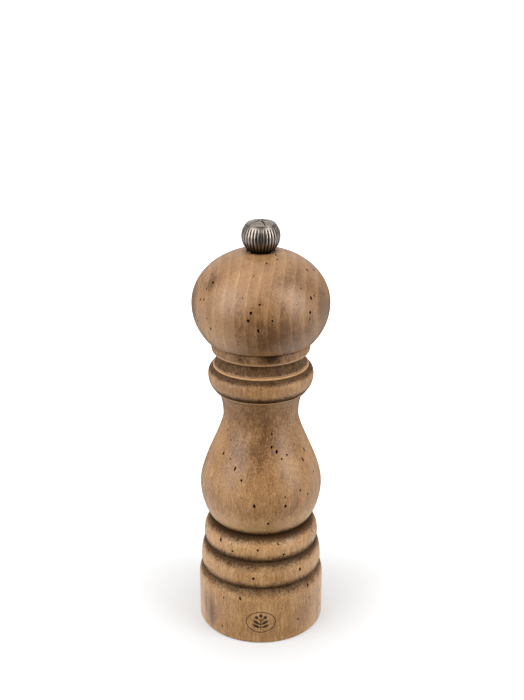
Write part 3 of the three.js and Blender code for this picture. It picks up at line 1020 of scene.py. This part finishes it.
@dataclass
class MillBody:
    """The body: base, two rings, belly, neck, bead, cove and flange, bored through for the pepper.

    Each pair is a radius and a height. The bearings count the vertices in each ring, and back_holes the
    wormholes that are tried on the sides and the back, from hole_low up to hole_high.
    """

    base_radius: float = 27.5
    foot_chamfer: float = 0.5
    base_top: float = 20.2
    low_groove: Point = (24.5, 26.3)
    low_ring: Point = (26.3, 29.4)
    mid_groove: Point = (23.6, 38.65)
    high_ring: Point = (24.8, 42.4)
    high_groove: Point = (20.1, 49.7)
    belly_foot: Point = (23.25, 51.9)
    belly: Point = (26.05, 66.2)
    neck: Point = (15.8, 98.3)
    neck_fillet: Point = (19.5, 109.7)
    bead: Point = (21.9, 116.3)
    cove_fillet: Point = (19.9, 120.1)
    cove_top: Point = (18.0, 125.6)
    flange_radius: float = 20.4
    flange_round: float = 1.2
    flange_low: float = 126.0
    top: float = 130.8
    foot_recess: Point = (22.2, 5.6)
    grinder_bore: Point = (17.4, 33.6)
    chamber: float = 11.0
    tenon_socket: Point = (13.0, 115.0)
    mark_height: float = 10.9
    bearings: int = 256
    back_holes: int = 70
    hole_low: float = 3.0
    hole_high: float = 108.0

    def outside(self) -> Array:
        """Draws the outer side of the section.

        Returns:
            The points from the foot's edge up to the top face.
        """
        neck_quirk = (self.neck_fillet[0] - 0.8, self.neck_fillet[1] + 0.6)
        cove_quirk = (self.cove_fillet[0] - 0.5, self.cove_fillet[1])
        cove_foot = (self.cove_fillet[0], self.cove_fillet[1] + 0.7)
        flange_half = (self.top - self.flange_low) / 2
        flange_middle = (self.flange_radius - self.flange_round, self.flange_low + flange_half)
        return np.vstack(
            [
                [(self.base_radius - self.foot_chamfer, 0.0), (self.base_radius, self.foot_chamfer)],
                quarter_over((self.base_radius, self.base_top), self.low_groove),
                self.ring(self.low_groove, self.low_ring, self.mid_groove),
                self.ring(self.mid_groove, self.high_ring, self.high_groove),
                sweep(self.high_groove, self.belly_foot, (self.belly[0], 59.8), self.belly)[1:],
                sweep(self.belly, (self.belly[0], 76.1), (self.neck[0], 91.6), self.neck)[1:],
                quarter_over(self.neck, self.neck_fillet)[1:],
                quarter_up(neck_quirk, self.bead),
                quarter_over(self.bead, cove_quirk)[1:],
                [self.cove_fillet],
                quarter_up(cove_foot, self.cove_top),
                arc(flange_middle, (self.flange_round, flange_half), (-90, 90)),
            ]
        )

    def ring(self, below: Point, crest: Point, above: Point) -> Array:
        """One turned ring: a short quarter round out of the groove below, a long one into the one above."""
        return np.vstack([quarter_up(below, crest)[1:], quarter_over(crest, above)[1:]])

    def section(self) -> Array:
        """Closes the section with the bores.

        Returns:
            The points all round.
        """
        inside = [
            (self.tenon_socket[0], self.top),
            self.tenon_socket,
            (self.chamber, self.tenon_socket[1]),
            (self.chamber, self.grinder_bore[1]),
            self.grinder_bore,
            (self.grinder_bore[0], self.foot_recess[1]),
            self.foot_recess,
            (self.foot_recess[0], 0.0),
        ]
        return np.vstack([self.outside(), inside])

    def stain_and_shade(self, radius: Array, height: Array) -> Array:
        """How much dark wash and painted shade there is, from 0 to 1.

        Each groove is full at its bottom and fades over a few millimetres up the quarter round above it and
        down the shoulder below it: wash and painted shade in the groove, painted shade up the ring's
        underside above it. The bead is dark above and below, the cove between bead and flange is dark all
        over, the flange is half soaked, its top edge is darker all round, and the neck has a thin wash.

        Args:
            radius: of each vertex.
            height: of each vertex.

        Returns:
            The amount at each vertex.
        """
        amount = np.zeros_like(radius)
        grooves = ((self.low_groove, 5.0, 0.86), (self.mid_groove, 4.9, 0.97), (self.high_groove, 4.0, 1.0))
        for (_, bottom), reach, depth in grooves:
            below = 1.0 - smoothstep(0.3, reach, bottom - height)
            # Up the ring's underside above the groove, the dark is painted shade.
            above = 1.0 - smoothstep(0.9, 4.6, height - bottom)
            amount = np.maximum(amount, depth * below * above)
        fillet, quirk = self.cove_fillet[1], self.neck_fillet[1] + 0.3
        bead_top = 0.88 * smoothstep(fillet - 2.9, fillet - 0.9, height) * (height < fillet + 0.1)
        bead_foot = 0.97 * (1.0 - smoothstep(quirk + 1.1, quirk + 3.9, height)) * (height > quirk)
        cove = 0.8 * smoothstep(fillet + 0.7, fillet + 1.6, height) * (height < self.flange_low + 0.1)
        flange = 0.36 * smoothstep(self.flange_low + 0.6, self.flange_low + 1.8, height)
        rim = 0.55 * smoothstep(self.top - 1.5, self.top - 0.2, height)
        neck = 0.27 * smoothstep(88.0, 100.0, height) * (height < self.neck_fillet[1] - 0.4)
        for part in (bead_top, bead_foot, cove, flange, rim, neck):
            amount = np.maximum(amount, part)
        return amount * (radius > self.neck[0] - 0.5)

    def smudges_and_painted_light(self) -> list[SmudgeOrPaintedLight]:
        """The darker and paler patches of the front, the sides and the back: dark patches on the neck's front
        that are partly painted shade, a pale band of painted light low on the belly's front, and other darker
        patches.
        """
        rows = (
            # The first three rows, on the neck's front, are partly painted shade.
            (-6, 103.5, 13.0, 5.0, 0.4), (8, 93.5, 9.0, 6.0, 0.4), (-5, 88.0, 14.0, 5.0, 0.3),
            (0, 79.0, 4.0, 12.0, 0.35), (-35, 88.0, 4.0, 9.0, 0.3), (27, 62.0, 7.0, 8.0, 0.25),
            (-52, 9.0, 2.6, 6.5, 1.3), (-62, 10.0, 1.6, 7.5, 1.0), (48, 11.0, 5.5, 7.5, 0.4),
            # (-2, 56) is a pale band of painted light low on the belly's front.
            (66, 9.0, 2.0, 9.0, 0.5), (12, 4.0, 9.0, 3.5, 0.2), (-2, 56.0, 34.0, 5.0, -0.45),
            (-40, 11.0, 5.0, 9.0, 0.3), (36, 10.0, 6.0, 8.0, 0.25), (150, 80.0, 9.0, 14.0, 0.5),
            (205, 100.0, 8.0, 9.0, 0.4), (240, 12.0, 6.0, 8.0, 0.5),
        )
        return [SmudgeOrPaintedLight(*row) for row in rows]

    def worn(self, radius: Array, height: Array) -> Array:
        """Where handling has rubbed the arrises pale, from 0 to 1.

        Args:
            radius: of each vertex.
            height: of each vertex.

        Returns:
            The amount at each vertex.
        """
        amount = np.zeros_like(radius)
        edges = ((self.neck_fillet[1], 0.5), (self.cove_fillet[1] + 0.35, 0.5), (self.flange_low + 0.4, 0.7))
        for edge, width in edges:
            amount = np.maximum(amount, 1.0 - smoothstep(0.5 * width, 1.3 * width, np.abs(height - edge)))
        return amount * (radius > self.neck[0] - 0.5)

    def wormholes(self) -> list[Wormhole]:
        """The holes seen from the front."""
        return enlarged(
            (-58, 97, 0.4, 0.8), (-56, 94, 0.3, 0.9), (-44, 91, 0.5, 0.7), (-50, 85, 0.7, 1.6),
            (-38, 84, 0.5, 0.9), (-29, 81, 0.8, 1.7), (16, 95, 0.7, 1.2), (14, 90, 0.8, 1.5),
            (20, 88, 1.0, 1.6), (25, 85, 0.7, 0.9), (33, 86, 0.7, 0.9), (48, 89, 0.6, 0.6),
            (63, 85, 0.7, 1.6), (54, 82, 0.7, 2.2), (66, 75, 0.5, 1.0), (-20, 77, 0.8, 1.0),
            (40, 71, 0.8, 1.0), (49, 68, 0.6, 0.7), (23, 70, 0.5, 0.9), (-18, 70, 0.4, 0.5),
            (-6, 67, 1.0, 1.5), (23, 66, 1.0, 1.3), (7, 58, 1.0, 1.1), (21, 59.5, 0.4, 0.5),
            (-45, 46, 0.9, 1.7), (-31, 46, 0.4, 0.5), (-29, 43, 0.8, 0.8), (-3, 45, 0.8, 1.0),
            (18, 47, 0.5, 0.9), (23, 42, 0.9, 0.9), (66, 46, 0.5, 1.2), (-7, 32, 1.0, 1.1),
            (40, 33, 0.9, 1.4), (-47, 36, 0.6, 0.7), (-62, 32, 0.5, 0.8), (49, 23.5, 0.9, 1.5),
            (-19, 22, 0.8, 1.5), (-36, 20, 0.6, 0.7), (50, 17, 0.5, 1.1), (36, 9, 0.8, 0.9),
            (-38, 5, 0.7, 0.8), (-60, 17, 0.4, 0.6), (19, 17, 0.4, 0.5),
        )

    def mark(self) -> Skin:
        """The plain mark burnt into the base: a sprig with three corns and four leaves in an oval ring.

        Each leaf, corn and part of the ring is a closed lens worked out in flat (along, up) millimetres and
        bent round the base, its face just proud of the wood and its back buried.

        Returns:
            One skin of all its parts.
        """
        corns = [corn((along, up), 0.75) for along, up in ((-1.9, 2.4), (0.0, 3.3), (1.9, 2.4))]
        pairs = ((-2.9, 64.0), (-1.3, 54.0))
        leaves = [leaf((side * 0.25, low), side * turn, 3.8, 0.62) for side in (-1, 1) for low, turn in pairs]
        stem = leaf((0.0, -4.0), 0.0, 6.6, 0.2)
        twigs = [leaf((0.0, 0.4), side * 43.0, 2.6, 0.16) for side in (-1, 1)]
        line = oval((6.3, 5.1), 0.34)
        return bent(corns + leaves + [stem] + twigs + line, self.base_radius, self.mark_height)

    def build(self, shop: Workshop) -> None:
        """Builds the body and its mark and dresses them.

        Args:
            shop: hands out the finishes.
        """
        skin = turned(self.section(), self.bearings, Spacing(wear=0.16, coarse=0.75, bend=7.0))
        radius, height = np.hypot(skin.vertices[:, 0], skin.vertices[:, 1]), skin.vertices[:, 2]
        spilt = painted_smudges_and_light(skin.vertices, [SmudgeOrPaintedLight(12, 129.6, 4.2, 2.2, 0.75), SmudgeOrPaintedLight(-24, 129.5, 3.0, 1.6, 0.3)])
        skin.notes = {
            "stain_and_shade": np.clip(self.stain_and_shade(radius, height) + spilt * (height > self.flange_low + 0.8), 0.0, 1.0),
            "worn": self.worn(radius, height),
            # The term taken away is painted light: the body is paler below 66 mm, and fully so below 47 mm.
            "smudge_and_painted_light": painted_smudges_and_light(skin.vertices, self.smudges_and_painted_light()) - 0.32 * (1.0 - smoothstep(47.0, 66.0, height)),
        }
        wood = make_object("wood_body", skin, [shop.get(Finish.BODY_BEECH)])
        outside = self.outside()
        reach = (self.hole_low, self.hole_high)
        holes = scattered(outside, self.back_holes, reach, self.wormholes(), seed=11)
        bore_wormholes(wood, wormhole_cutter(outside, holes, seed=5), shop.get(Finish.WORMHOLE))
        dress(wood, "body", "turned_body", slot="beech")
        mark = make_object("burnt_mark", self.mark(), [shop.get(Finish.BURNT)])
        dress(mark, "body", slot="beech")


MARK_PROUD = 0.02
MARK_BURIED = 0.3
LEAF_POINTS = 15
CORN_POINTS = 28
OVAL_DASHES = 24
DASH_HALF = 0.14  # radians; more than half of a dash's share, so that the dashes overlap
DASH_POINTS = 7


def lens(outline: Array) -> Skin:
    """A thin closed lens in flat millimetres: x along, z up, and y from -1 (face) to 1 (back).

    Args:
        outline: points round the lens, anticlockwise.

    Returns:
        The closed skin, its middle at the mean of the outline.
    """
    middle = outline.mean(axis=0)
    shares = np.array([0.5, 1.0, 1.0, 0.5])
    depth = np.array([-1.0, -1.0, 1.0, 1.0])
    flat = middle + (outline[None] - middle) * shares[:, None, None]
    grid = np.stack([flat[..., 0], np.broadcast_to(depth[:, None], flat.shape[:2]), flat[..., 1]], axis=-1)
    across = len(outline)
    vertices = np.vstack([grid.reshape(-1, 3), [[middle[0], -1.0, middle[1]], [middle[0], 1.0, middle[1]]]])
    low, high = len(vertices) - 2, len(vertices) - 1
    triangles = np.vstack([fan(low, 0, across, True), fan(high, 3 * across, across, False)])
    return Skin(vertices, ring_grid(4, across, False, True)[:, ::-1], triangles)


def corn(middle: Point, radius: float) -> Skin:
    """A round peppercorn of the mark."""
    angle = TAU * np.arange(CORN_POINTS) / CORN_POINTS
    return lens(np.array(middle) + radius * np.stack([np.cos(angle), np.sin(angle)], axis=1))


def leaf(foot: Point, turn: float, length: float, width: float) -> Skin:
    """A pointed leaf of the mark: half-width is width * sin(pi t) ** 0.8 at part t of its length.

    Args:
        foot: where it leaves the stem.
        turn: its lean from upright in degrees, positive to the right.
        length: its length.
        width: its greatest half-width.

    Returns:
        The closed skin.
    """
    t = np.linspace(0.0, 1.0, LEAF_POINTS)
    half = width * np.sin(np.pi * t) ** 0.8
    side = np.r_[half, -half[-2:0:-1]]
    up = np.r_[t, t[-2:0:-1]] * length
    angle = np.radians(turn)
    along = side * np.cos(angle) + up * np.sin(angle)
    rise = up * np.cos(angle) - side * np.sin(angle)
    return lens(np.stack([foot[0] + along, foot[1] + rise], axis=1))


def oval(reach: Point, width: float) -> list[Skin]:
    """An oval line of the mark, in overlapping dashes.

    Args:
        reach: half-width and half-height of the oval.
        width: width of the line.

    Returns:
        One closed skin for each dash.
    """
    dashes = []
    for middle in TAU * np.arange(OVAL_DASHES) / OVAL_DASHES:
        angle = middle + np.linspace(-DASH_HALF, DASH_HALF, DASH_POINTS)
        line = np.stack([reach[0] * np.cos(angle), reach[1] * np.sin(angle)], axis=1)
        inner, outer = line * (1 - width / 2 / np.array(reach)), line * (1 + width / 2 / np.array(reach))
        dashes.append(lens(np.vstack([outer, inner[::-1]])))
    return dashes


def bent(flats: list[Skin], radius: float, height: float) -> Skin:
    """Bends flat lenses round the front of a cylinder: along becomes bearing * radius, depth becomes radius.

    Args:
        flats: the lenses.
        radius: of the cylinder.
        height: where their zero goes.

    Returns:
        One skin of them all, each closed on its own.
    """
    whole = gathered(flats)
    along, depth, up = whole.vertices.T
    bearing = along / radius
    out = np.where(depth < 0, radius + MARK_PROUD, radius - MARK_BURIED)
    whole.vertices = np.stack([out * np.sin(bearing), -out * np.cos(bearing), height + up], axis=1)
    return whole


@dataclass
class MillHead:
    """The head: a flattened ball with a tenon below it, bored through for the shaft.

    Each pair is a radius and a height, and above and below are the ball's reach each way from its middle. The
    bearings count the vertices in each ring, and back_holes the wormholes that are tried on the sides and the
    back, from hole_low up to hole_high.
    """

    ball: Point = (28.05, 146.6)
    above: float = 22.1
    below: float = 24.6
    edge: Point = (21.4, 131.0)
    crown: Point = (8.0, 167.8)
    seat: Point = (5.7, 167.1)
    tenon: Point = (12.6, 116.8)
    bore: float = 4.7
    edge_round: float = 0.6
    bearings: int = 240
    back_holes: int = 34
    hole_low: float = 134.0
    hole_high: float = 163.0

    def outside(self) -> Array:
        """Draws the ball's outer side.

        Returns:
            The points from its lower edge up to the crown.
        """
        edge = np.degrees(np.arcsin((self.edge[1] + self.edge_round - self.ball[1]) / self.below))
        crown = np.degrees(np.arcsin((self.crown[1] - self.ball[1]) / self.above))
        return np.vstack(
            [
                [(self.edge[0] - self.edge_round, self.edge[1])],
                arc((0.0, self.ball[1]), (self.ball[0], self.below), (edge, 0)),
                arc((0.0, self.ball[1]), (self.ball[0], self.above), (0, crown))[1:],
            ]
        )

    def section(self) -> Array:
        """Closes the section with the seat, the bore and the tenon.

        Returns:
            The points all round.
        """
        seat = [(self.seat[0], self.crown[1]), self.seat]
        bore = [(self.bore, self.seat[1]), (self.bore, self.tenon[1])]
        tenon = [self.tenon, (self.tenon[0], self.edge[1])]
        return np.vstack([self.outside(), seat, bore, tenon])

    def wormholes(self) -> list[Wormhole]:
        """The holes seen from the front."""
        return enlarged(
            (44, 167.7, 1.1, 0.8), (34, 166.8, 0.8, 0.6), (10, 166.3, 0.9, 0.7), (-24, 167, 0.5, 0.4),
            (-8, 163, 0.6, 0.5), (51, 165.5, 0.4, 0.5), (-53, 159, 1.1, 1.0), (-57, 156.5, 0.5, 1.4),
            (-60, 152, 0.5, 1.5), (-55, 152.6, 0.5, 1.3), (-64, 161, 0.4, 0.9), (-1, 154, 0.8, 0.9),
            (-8, 151, 1.0, 1.1), (-10, 148, 0.9, 1.2), (9, 148, 0.7, 1.0), (-2, 144, 0.8, 1.7),
            (47, 154, 0.9, 1.4), (52, 154.4, 0.5, 1.2), (43, 149, 1.0, 1.2), (42, 146.5, 0.5, 0.7),
            (-45, 142, 0.7, 1.0), (-48, 146, 0.4, 0.5), (40, 158, 0.5, 0.9), (68, 143, 0.5, 0.8),
            (-16, 156, 0.4, 0.4), (31, 153, 0.4, 0.4),
        )

    def smudges_and_painted_light(self) -> list[SmudgeOrPaintedLight]:
        """The darker and paler patches of the ball: painted shade along its left and right edges and in the
        middle of its front, painted light low on its left, dark patches low in front that are partly painted
        shade, and other darker patches.
        """
        rows = (
            # (16, 143.5) and (8, 137), low in front, are partly painted shade.
            (16, 143.5, 14.0, 5.5, 0.42), (8, 137.0, 18.0, 5.0, 0.4), (24, 161.0, 8.0, 3.5, 0.25),
            (62, 149.0, 6.0, 7.0, 0.5), (46, 160.5, 7.0, 4.0, 0.35), (-54, 158.5, 2.2, 2.6, 0.9),
            # (-34, 139) is painted light low on the left; (-74, 147) and (74, 147) are painted shade along
            # the edges.
            (-34, 139.0, 9.0, 6.5, -0.5), (-74, 147.0, 7.0, 10.0, 0.5), (74, 147.0, 8.0, 10.0, 0.4),
            # (2, 151) is painted shade in the middle of the front.
            (2, 151.0, 9.0, 8.0, 0.25), (170, 150.0, 12.0, 9.0, 0.5), (240, 140.0, 9.0, 6.0, 0.5),
        )
        return [SmudgeOrPaintedLight(*row) for row in rows]

    def build(self, shop: Workshop) -> None:
        """Builds the ball and dresses it.

        Args:
            shop: hands out the finishes.
        """
        skin = turned(self.section(), self.bearings, Spacing(wear=0.16, coarse=0.75, bend=7.0))
        height = skin.vertices[:, 2]
        radius = np.hypot(skin.vertices[:, 0], skin.vertices[:, 1])
        # A painted shadow: the head's top is darker in a ring round the knob's foot, under the knob's bowl.
        knob_shadow_ring = 1.0 - smoothstep(0.1, 1.4, np.abs(radius - self.seat[0] - 0.4))
        skin.notes = {
            "stain_and_shade": 0.3 * knob_shadow_ring * (height > self.seat[1] - 0.5),
            "worn": np.zeros_like(height),
            "smudge_and_painted_light": painted_smudges_and_light(skin.vertices, self.smudges_and_painted_light()),
        }
        wood = make_object("wood_head", skin, [shop.get(Finish.HEAD_BEECH)])
        outside = self.outside()
        reach = (self.hole_low, self.hole_high)
        holes = scattered(outside, self.back_holes, reach, self.wormholes(), seed=23)
        bore_wormholes(wood, wormhole_cutter(outside, holes, seed=9), shop.get(Finish.WORMHOLE))
        dress(wood, "head", "head_ball", slot="beech")


# --------------------------------------------------------------------------------------------------
# Knob


@dataclass
class Knob:
    """The fluted knob: a cast bowl with rounded flutes, a smooth shoulder and a low domed cap.

    Each pair is a radius and a height, and below and above are the bowl's reach each way from its widest
    place. The flutes' and the cap's bearings count vertices, in one flute and round the cap.
    """

    foot: Point = (4.4, 167.45)
    belly: Point = (7.75, 174.0)
    below: float = 7.9
    above: float = 6.9
    rim: float = 6.55
    bore: Point = (4.05, 176.3)
    flutes: int = 32
    flute_depth: float = 0.42
    flute_top: float = 177.3
    flute_shape: float = 0.28
    flute_bearings: int = 14
    cap_radius: float = 6.0
    cap_bottom: float = 177.5
    cap_edge: float = 178.5
    cap_top: float = 180.0
    cap_gap: float = 0.07
    cap_bearings: int = 240
    star_arms: int = 5
    star_depth: float = 0.28
    star_width: float = 0.42

    def valley(self, bearing: Array) -> Array:
        """The flutes' section, 1 in the narrow grooves and 0 on the crests: 1 - |sin(n b / 2)| ** shape."""
        return 1.0 - np.abs(np.sin(self.flutes * bearing / 2.0)) ** self.flute_shape

    def flute_reach(self, radius: Array, height: Array) -> Array:
        """How deep the flutes are cut: in full on the bowl, fading out at its foot and on its shoulder."""
        bowl = smoothstep(self.foot[1] - 0.3, self.foot[1] + 1.2, height) * (radius > self.foot[0] - 0.1)
        return bowl * (1.0 - smoothstep(self.flute_top, self.flute_top + 0.55, height))

    def fluted(self, radius: Array, height: Array, bearing: Array) -> tuple[Array, Array]:
        """Cuts narrow grooves between rounded flutes: the radius loses depth * reach * valley."""
        cut = self.flute_depth * self.flute_reach(radius, height) * self.valley(bearing)
        return radius - cut, height + 0.0 * bearing

    def star(self, radius: Array, height: Array, bearing: Array) -> tuple[Array, Array]:
        """Engraves a plain star in the dome: tapering grooves along evenly spaced bearings.

        Args:
            radius: of each vertex.
            height: of each vertex.
            bearing: of each vertex in radians.

        Returns:
            The radius as it was and the height with the star cut in.
        """
        share = TAU / self.star_arms
        arm = (bearing + share / 2.0) % share - share / 2.0
        off = np.abs(radius * np.sin(arm))
        width = self.star_width * (1.0 - radius / (0.95 * self.cap_radius))
        cut = self.star_depth * (1.0 - smoothstep(0.0, 0.22, off - width)) * smoothstep(0.5, 0.9, radius)
        on_dome = height > self.cap_edge - 0.1
        return radius + 0.0 * bearing, height - cut * on_dome * (width > 0.0)

    def build(self, shop: Workshop) -> None:
        """Builds the shell and the cap and dresses them.

        Args:
            shop: hands out the finishes.
        """
        foot_angle = np.degrees(np.arccos(self.foot[0] / self.belly[0]))
        rim_angle = np.degrees(np.arccos(self.rim / self.belly[0]))
        recess = self.cap_radius + self.cap_gap
        floor = self.cap_bottom - 0.1
        outline = np.vstack(
            [
                [(0.0, self.bore[1]), self.bore, (self.bore[0], self.foot[1]), self.foot],
                arc((0.0, self.belly[1]), (self.belly[0], self.below), (-foot_angle, 0)),
                arc((0.0, self.belly[1]), (self.belly[0], self.above), (0, rim_angle))[1:],
                [(recess, self.cap_edge - 0.05), (recess, floor), (0.0, floor)],
            ]
        )
        spacing = Spacing(wear=0.06, coarse=0.35, bend=10.0)
        bearings = self.flutes * self.flute_bearings
        skin = turned(outline, bearings, spacing, looped=False, shaper=self.fluted)
        radius, height = np.hypot(skin.vertices[:, 0], skin.vertices[:, 1]), skin.vertices[:, 2]
        bearing = np.arctan2(skin.vertices[:, 1], skin.vertices[:, 0])
        valley = self.valley(bearing) * self.flute_reach(radius, height)
        foot = 1.0 - smoothstep(self.foot[1], self.foot[1] + 6.0, height)
        shoulder = 0.25 * smoothstep(self.cap_bottom, self.cap_bottom + 0.4, height)
        skin.notes = {"recess": np.clip(2.0 * valley + 0.6 * foot + shoulder, 0.0, 1.0)}
        shell = make_object("pewter_knob", skin, [shop.get(Finish.PEWTER)])
        dress(shell, "knob", "knob_shell", slot="pewter")

        dome = quarter_over((self.cap_radius, self.cap_edge), (0.0, self.cap_top))
        cap_outline = np.vstack([[(0.0, self.cap_bottom), (self.cap_radius, self.cap_bottom)], dome])
        spacing = Spacing(wear=0.06, coarse=0.14, bend=8.0)
        cap = turned(cap_outline, self.cap_bearings, spacing, looped=False, shaper=self.star)
        height = cap.vertices[:, 2]
        radius = np.hypot(cap.vertices[:, 0], cap.vertices[:, 1])
        rise = np.sqrt(np.clip(1.0 - (radius / self.cap_radius) ** 2, 0.0, 1.0))
        level = self.cap_edge + (self.cap_top - self.cap_edge) * rise
        sunk = smoothstep(0.04, 0.2, level - height) * (height > self.cap_edge)
        # A painted shadow: the cap is darker round its edge, where it sits in the shell.
        rim = 0.4 * smoothstep(self.cap_radius - 0.3, self.cap_radius, radius)
        cap.notes = {"recess": np.clip(sunk + rim, 0.0, 1.0)}
        piece = make_object("pewter_cap", cap, [shop.get(Finish.PEWTER)])
        dress(piece, "knob", "knob_cap", slot="pewter")


# --------------------------------------------------------------------------------------------------
# Studio


@dataclass
class Studio:
    """Floor, lights and camera.

    Attributes:
        distance: from the mill's axis to the camera in millimetres.
        eye_height: height of the camera.
        pitch: how far it looks down in degrees.
        lens: its focal length in millimetres.
        sensor: width of its sensor in millimetres.
        shift: how far the picture is moved across and up, in widths of the sensor.
        light_distance: from the point aimed at to each softbox in millimetres.
        aim_height: height of that point.
        floor_inner: radius of the floor's first ring.
        floor_outer: radius of its last ring.
        floor_rings: rings on each side of the floor, each wider than the last by the same ratio.
        floor_bearings: vertices in each ring.
        floor_thickness: how far its underside lies below the mill's foot.
        floor_edge: degrees between two of its faces that make an edge sharp.
    """

    distance: float = 415.5
    eye_height: float = 282.1
    pitch: float = 24.06
    lens: float = 55.4
    sensor: float = 36.0
    shift: Point = (0.0016, 0.0929)
    light_distance: float = 900.0
    aim_height: float = 100.0
    floor_inner: float = 20.0
    floor_outer: float = 12000.0
    floor_rings: int = 24
    floor_bearings: int = 64
    floor_thickness: float = 20.0
    floor_edge: float = 30.0

    def camera(self) -> None:
        """Places the camera: it looks along +Y and down, from well above the knob."""
        data = bpy.data.cameras.new("camera")
        data.lens = self.lens
        data.sensor_width = self.sensor
        data.shift_x, data.shift_y = self.shift
        data.clip_start, data.clip_end = 0.02, 60.0
        camera = bpy.data.objects.new("camera", data)
        camera.location = (0.0, -self.distance * METRES, self.eye_height * METRES)
        camera.rotation_euler = (np.radians(90.0 - self.pitch), 0.0, 0.0)
        bpy.context.scene.collection.objects.link(camera)
        bpy.context.scene.camera = camera

    def softbox(self, name: str, azimuth: float, elevation: float, size: Point, power: float) -> None:
        """Hangs a flat softbox at light_distance from the point aimed at, facing it.

        Args:
            name: the light's name.
            azimuth: degrees from the front towards +X.
            elevation: degrees above the point aimed at.
            size: width and height in metres.
            power: in watts.
        """
        data = bpy.data.lights.new(name, "AREA")
        data.shape = "RECTANGLE"
        data.size, data.size_y = size
        data.energy = power
        light = bpy.data.objects.new(name, data)
        turn, rise = np.radians(azimuth), np.radians(elevation)
        way = Vector((np.sin(turn) * np.cos(rise), -np.cos(turn) * np.cos(rise), np.sin(rise)))
        light.location = (way * self.light_distance + Vector((0.0, 0.0, self.aim_height))) * METRES
        light.rotation_euler = way.to_track_quat("Z", "Y").to_euler()
        bpy.context.scene.collection.objects.link(light)

    def surroundings(self) -> None:
        """Fills the room with soft light: pale behind and above, dim in front, white to the camera."""
        world = bpy.data.worlds.new("studio")
        world.use_nodes = True
        tree = world.node_tree
        tree.nodes.clear()
        way = add(tree, "TexCoord").outputs["Generated"]
        parts = add(tree, "SeparateXYZ", {0: way}).outputs
        window = {0: parts["Y"], 1: -0.1, 2: 0.8, 3: 0.03, 4: 0.75}
        behind = add(tree, "MapRange", window, interpolation_type=SOFT).outputs[0]
        window = {0: parts["Z"], 1: 0.3, 2: 0.95, 3: 0.0, 4: 1.1}
        above = add(tree, "MapRange", window, interpolation_type=SOFT).outputs[0]
        level = add(tree, "Math", {0: behind, 1: above}, operation="MAXIMUM").outputs[0]
        seen = add(tree, "LightPath").outputs["Is Camera Ray"]
        strength = add(tree, "Mix", {0: seen, 2: level, 3: 1.0}, data_type="FLOAT").outputs[0]
        light = add(tree, "Background", {"Color": WHITE, "Strength": strength})
        output = add(tree, "OutputWorld")
        tree.links.new(light.outputs[0], output.inputs[0])
        bpy.context.scene.world = world

    def floor(self) -> None:
        """Lays the pale floor: a wide disc of rings, matt and lit under the mill and luminous further out.

        Reflections see it bright at both sides, as if white cards lay there, and dim in front. Light that
        bounces off it is dim too.
        """
        material, tree = blank("studio_floor_white")
        place = add(tree, "TexCoord").outputs["Object"]
        away = add(tree, "VectorMath", {0: place}, operation="LENGTH").outputs["Value"]
        way = add(tree, "VectorMath", {0: place}, operation="NORMALIZE").outputs[0]
        sideways = add(tree, "SeparateXYZ", {0: way}).outputs["X"]
        aside = add(tree, "Math", {0: sideways}, operation="ABSOLUTE").outputs[0]
        matt = add(tree, "BsdfDiffuse", {"Color": (0.5, 0.5, 0.5, 1.0)}).outputs[0]
        lift = add(tree, "MapRange", {0: away, 1: 0.03, 2: 0.17, 3: 0.33, 4: 1.0}).outputs[0]
        glow = add(tree, "Emission", {"Color": WHITE, "Strength": lift}).outputs[0]
        seen = add(tree, "AddShader", {0: matt, 1: glow}).outputs[0]
        cards = add(tree, "MapRange", {0: aside, 1: 0.5, 2: 0.8, 3: 0.04, 4: 1.1}).outputs[0]
        mirrored = add(tree, "Emission", {"Color": WHITE, "Strength": cards}).outputs[0]
        bounced = add(tree, "BsdfDiffuse", {"Color": (0.3, 0.3, 0.3, 1.0)}).outputs[0]
        rays = add(tree, "LightPath").outputs
        unseen = add(tree, "MixShader", {0: rays["Is Glossy Ray"], 1: bounced, 2: mirrored}).outputs[0]
        both = add(tree, "MixShader", {0: rays["Is Camera Ray"], 1: unseen, 2: seen}).outputs[0]
        tree.links.new(both, tree.nodes["Material Output"].inputs[0])
        radius = np.geomspace(self.floor_inner, self.floor_outer, self.floor_rings)
        under = [(0.0, -self.floor_thickness)] + [(reach, -self.floor_thickness) for reach in radius]
        top = [(reach, 0.0) for reach in radius[::-1]] + [(0.0, 0.0)]
        disc = spun(np.array(under + top), self.floor_bearings, looped=False)
        floor = make_object("studio_floor", disc, [material])
        crease(floor.data, self.floor_edge)

    def build(self) -> None:
        """Builds the whole studio."""
        self.camera()
        self.surroundings()
        self.floor()
        self.softbox("left_softbox", azimuth=-60.0, elevation=27.0, size=(0.8, 0.9), power=7.0)
        self.softbox("right_softbox", azimuth=62.0, elevation=27.0, size=(0.5, 0.9), power=5.6)
        bpy.context.scene.view_settings.view_transform = "Standard"


def dress_nodes(shop: Workshop) -> None:
    """Gives each node of the frame the finish that its slot names.

    Args:
        shop: hands out the finishes.
    """
    finishes = {
        "plated_steel": Finish.PLATED,
        "tool_steel": Finish.TOOL_STEEL,
        "spring_steel": Finish.SPRING_STEEL,
        "brass": Finish.BRASS,
        "pewter": Finish.PEWTER,
        "beech": Finish.BODY_BEECH,
    }
    for part in frame["record"]["subparts"]:
        node = frame["nodes"][part["node"]]
        node.data.materials.clear()
        node.data.materials.append(shop.get(finishes[part["material_slot"]]))
        log.info("%s has its finish", part["node"])


def main() -> None:
    """Builds the mill's pieces in order, then the studio."""
    logging.basicConfig(level=logging.INFO, format="%(name)s: %(message)s")
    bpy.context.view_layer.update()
    shop = Workshop()
    dress_nodes(shop)
    MillBody().build(shop)
    MillHead().build(shop)
    Knob().build(shop)
    Studio().build()


if __name__ == "__main__":
    main()
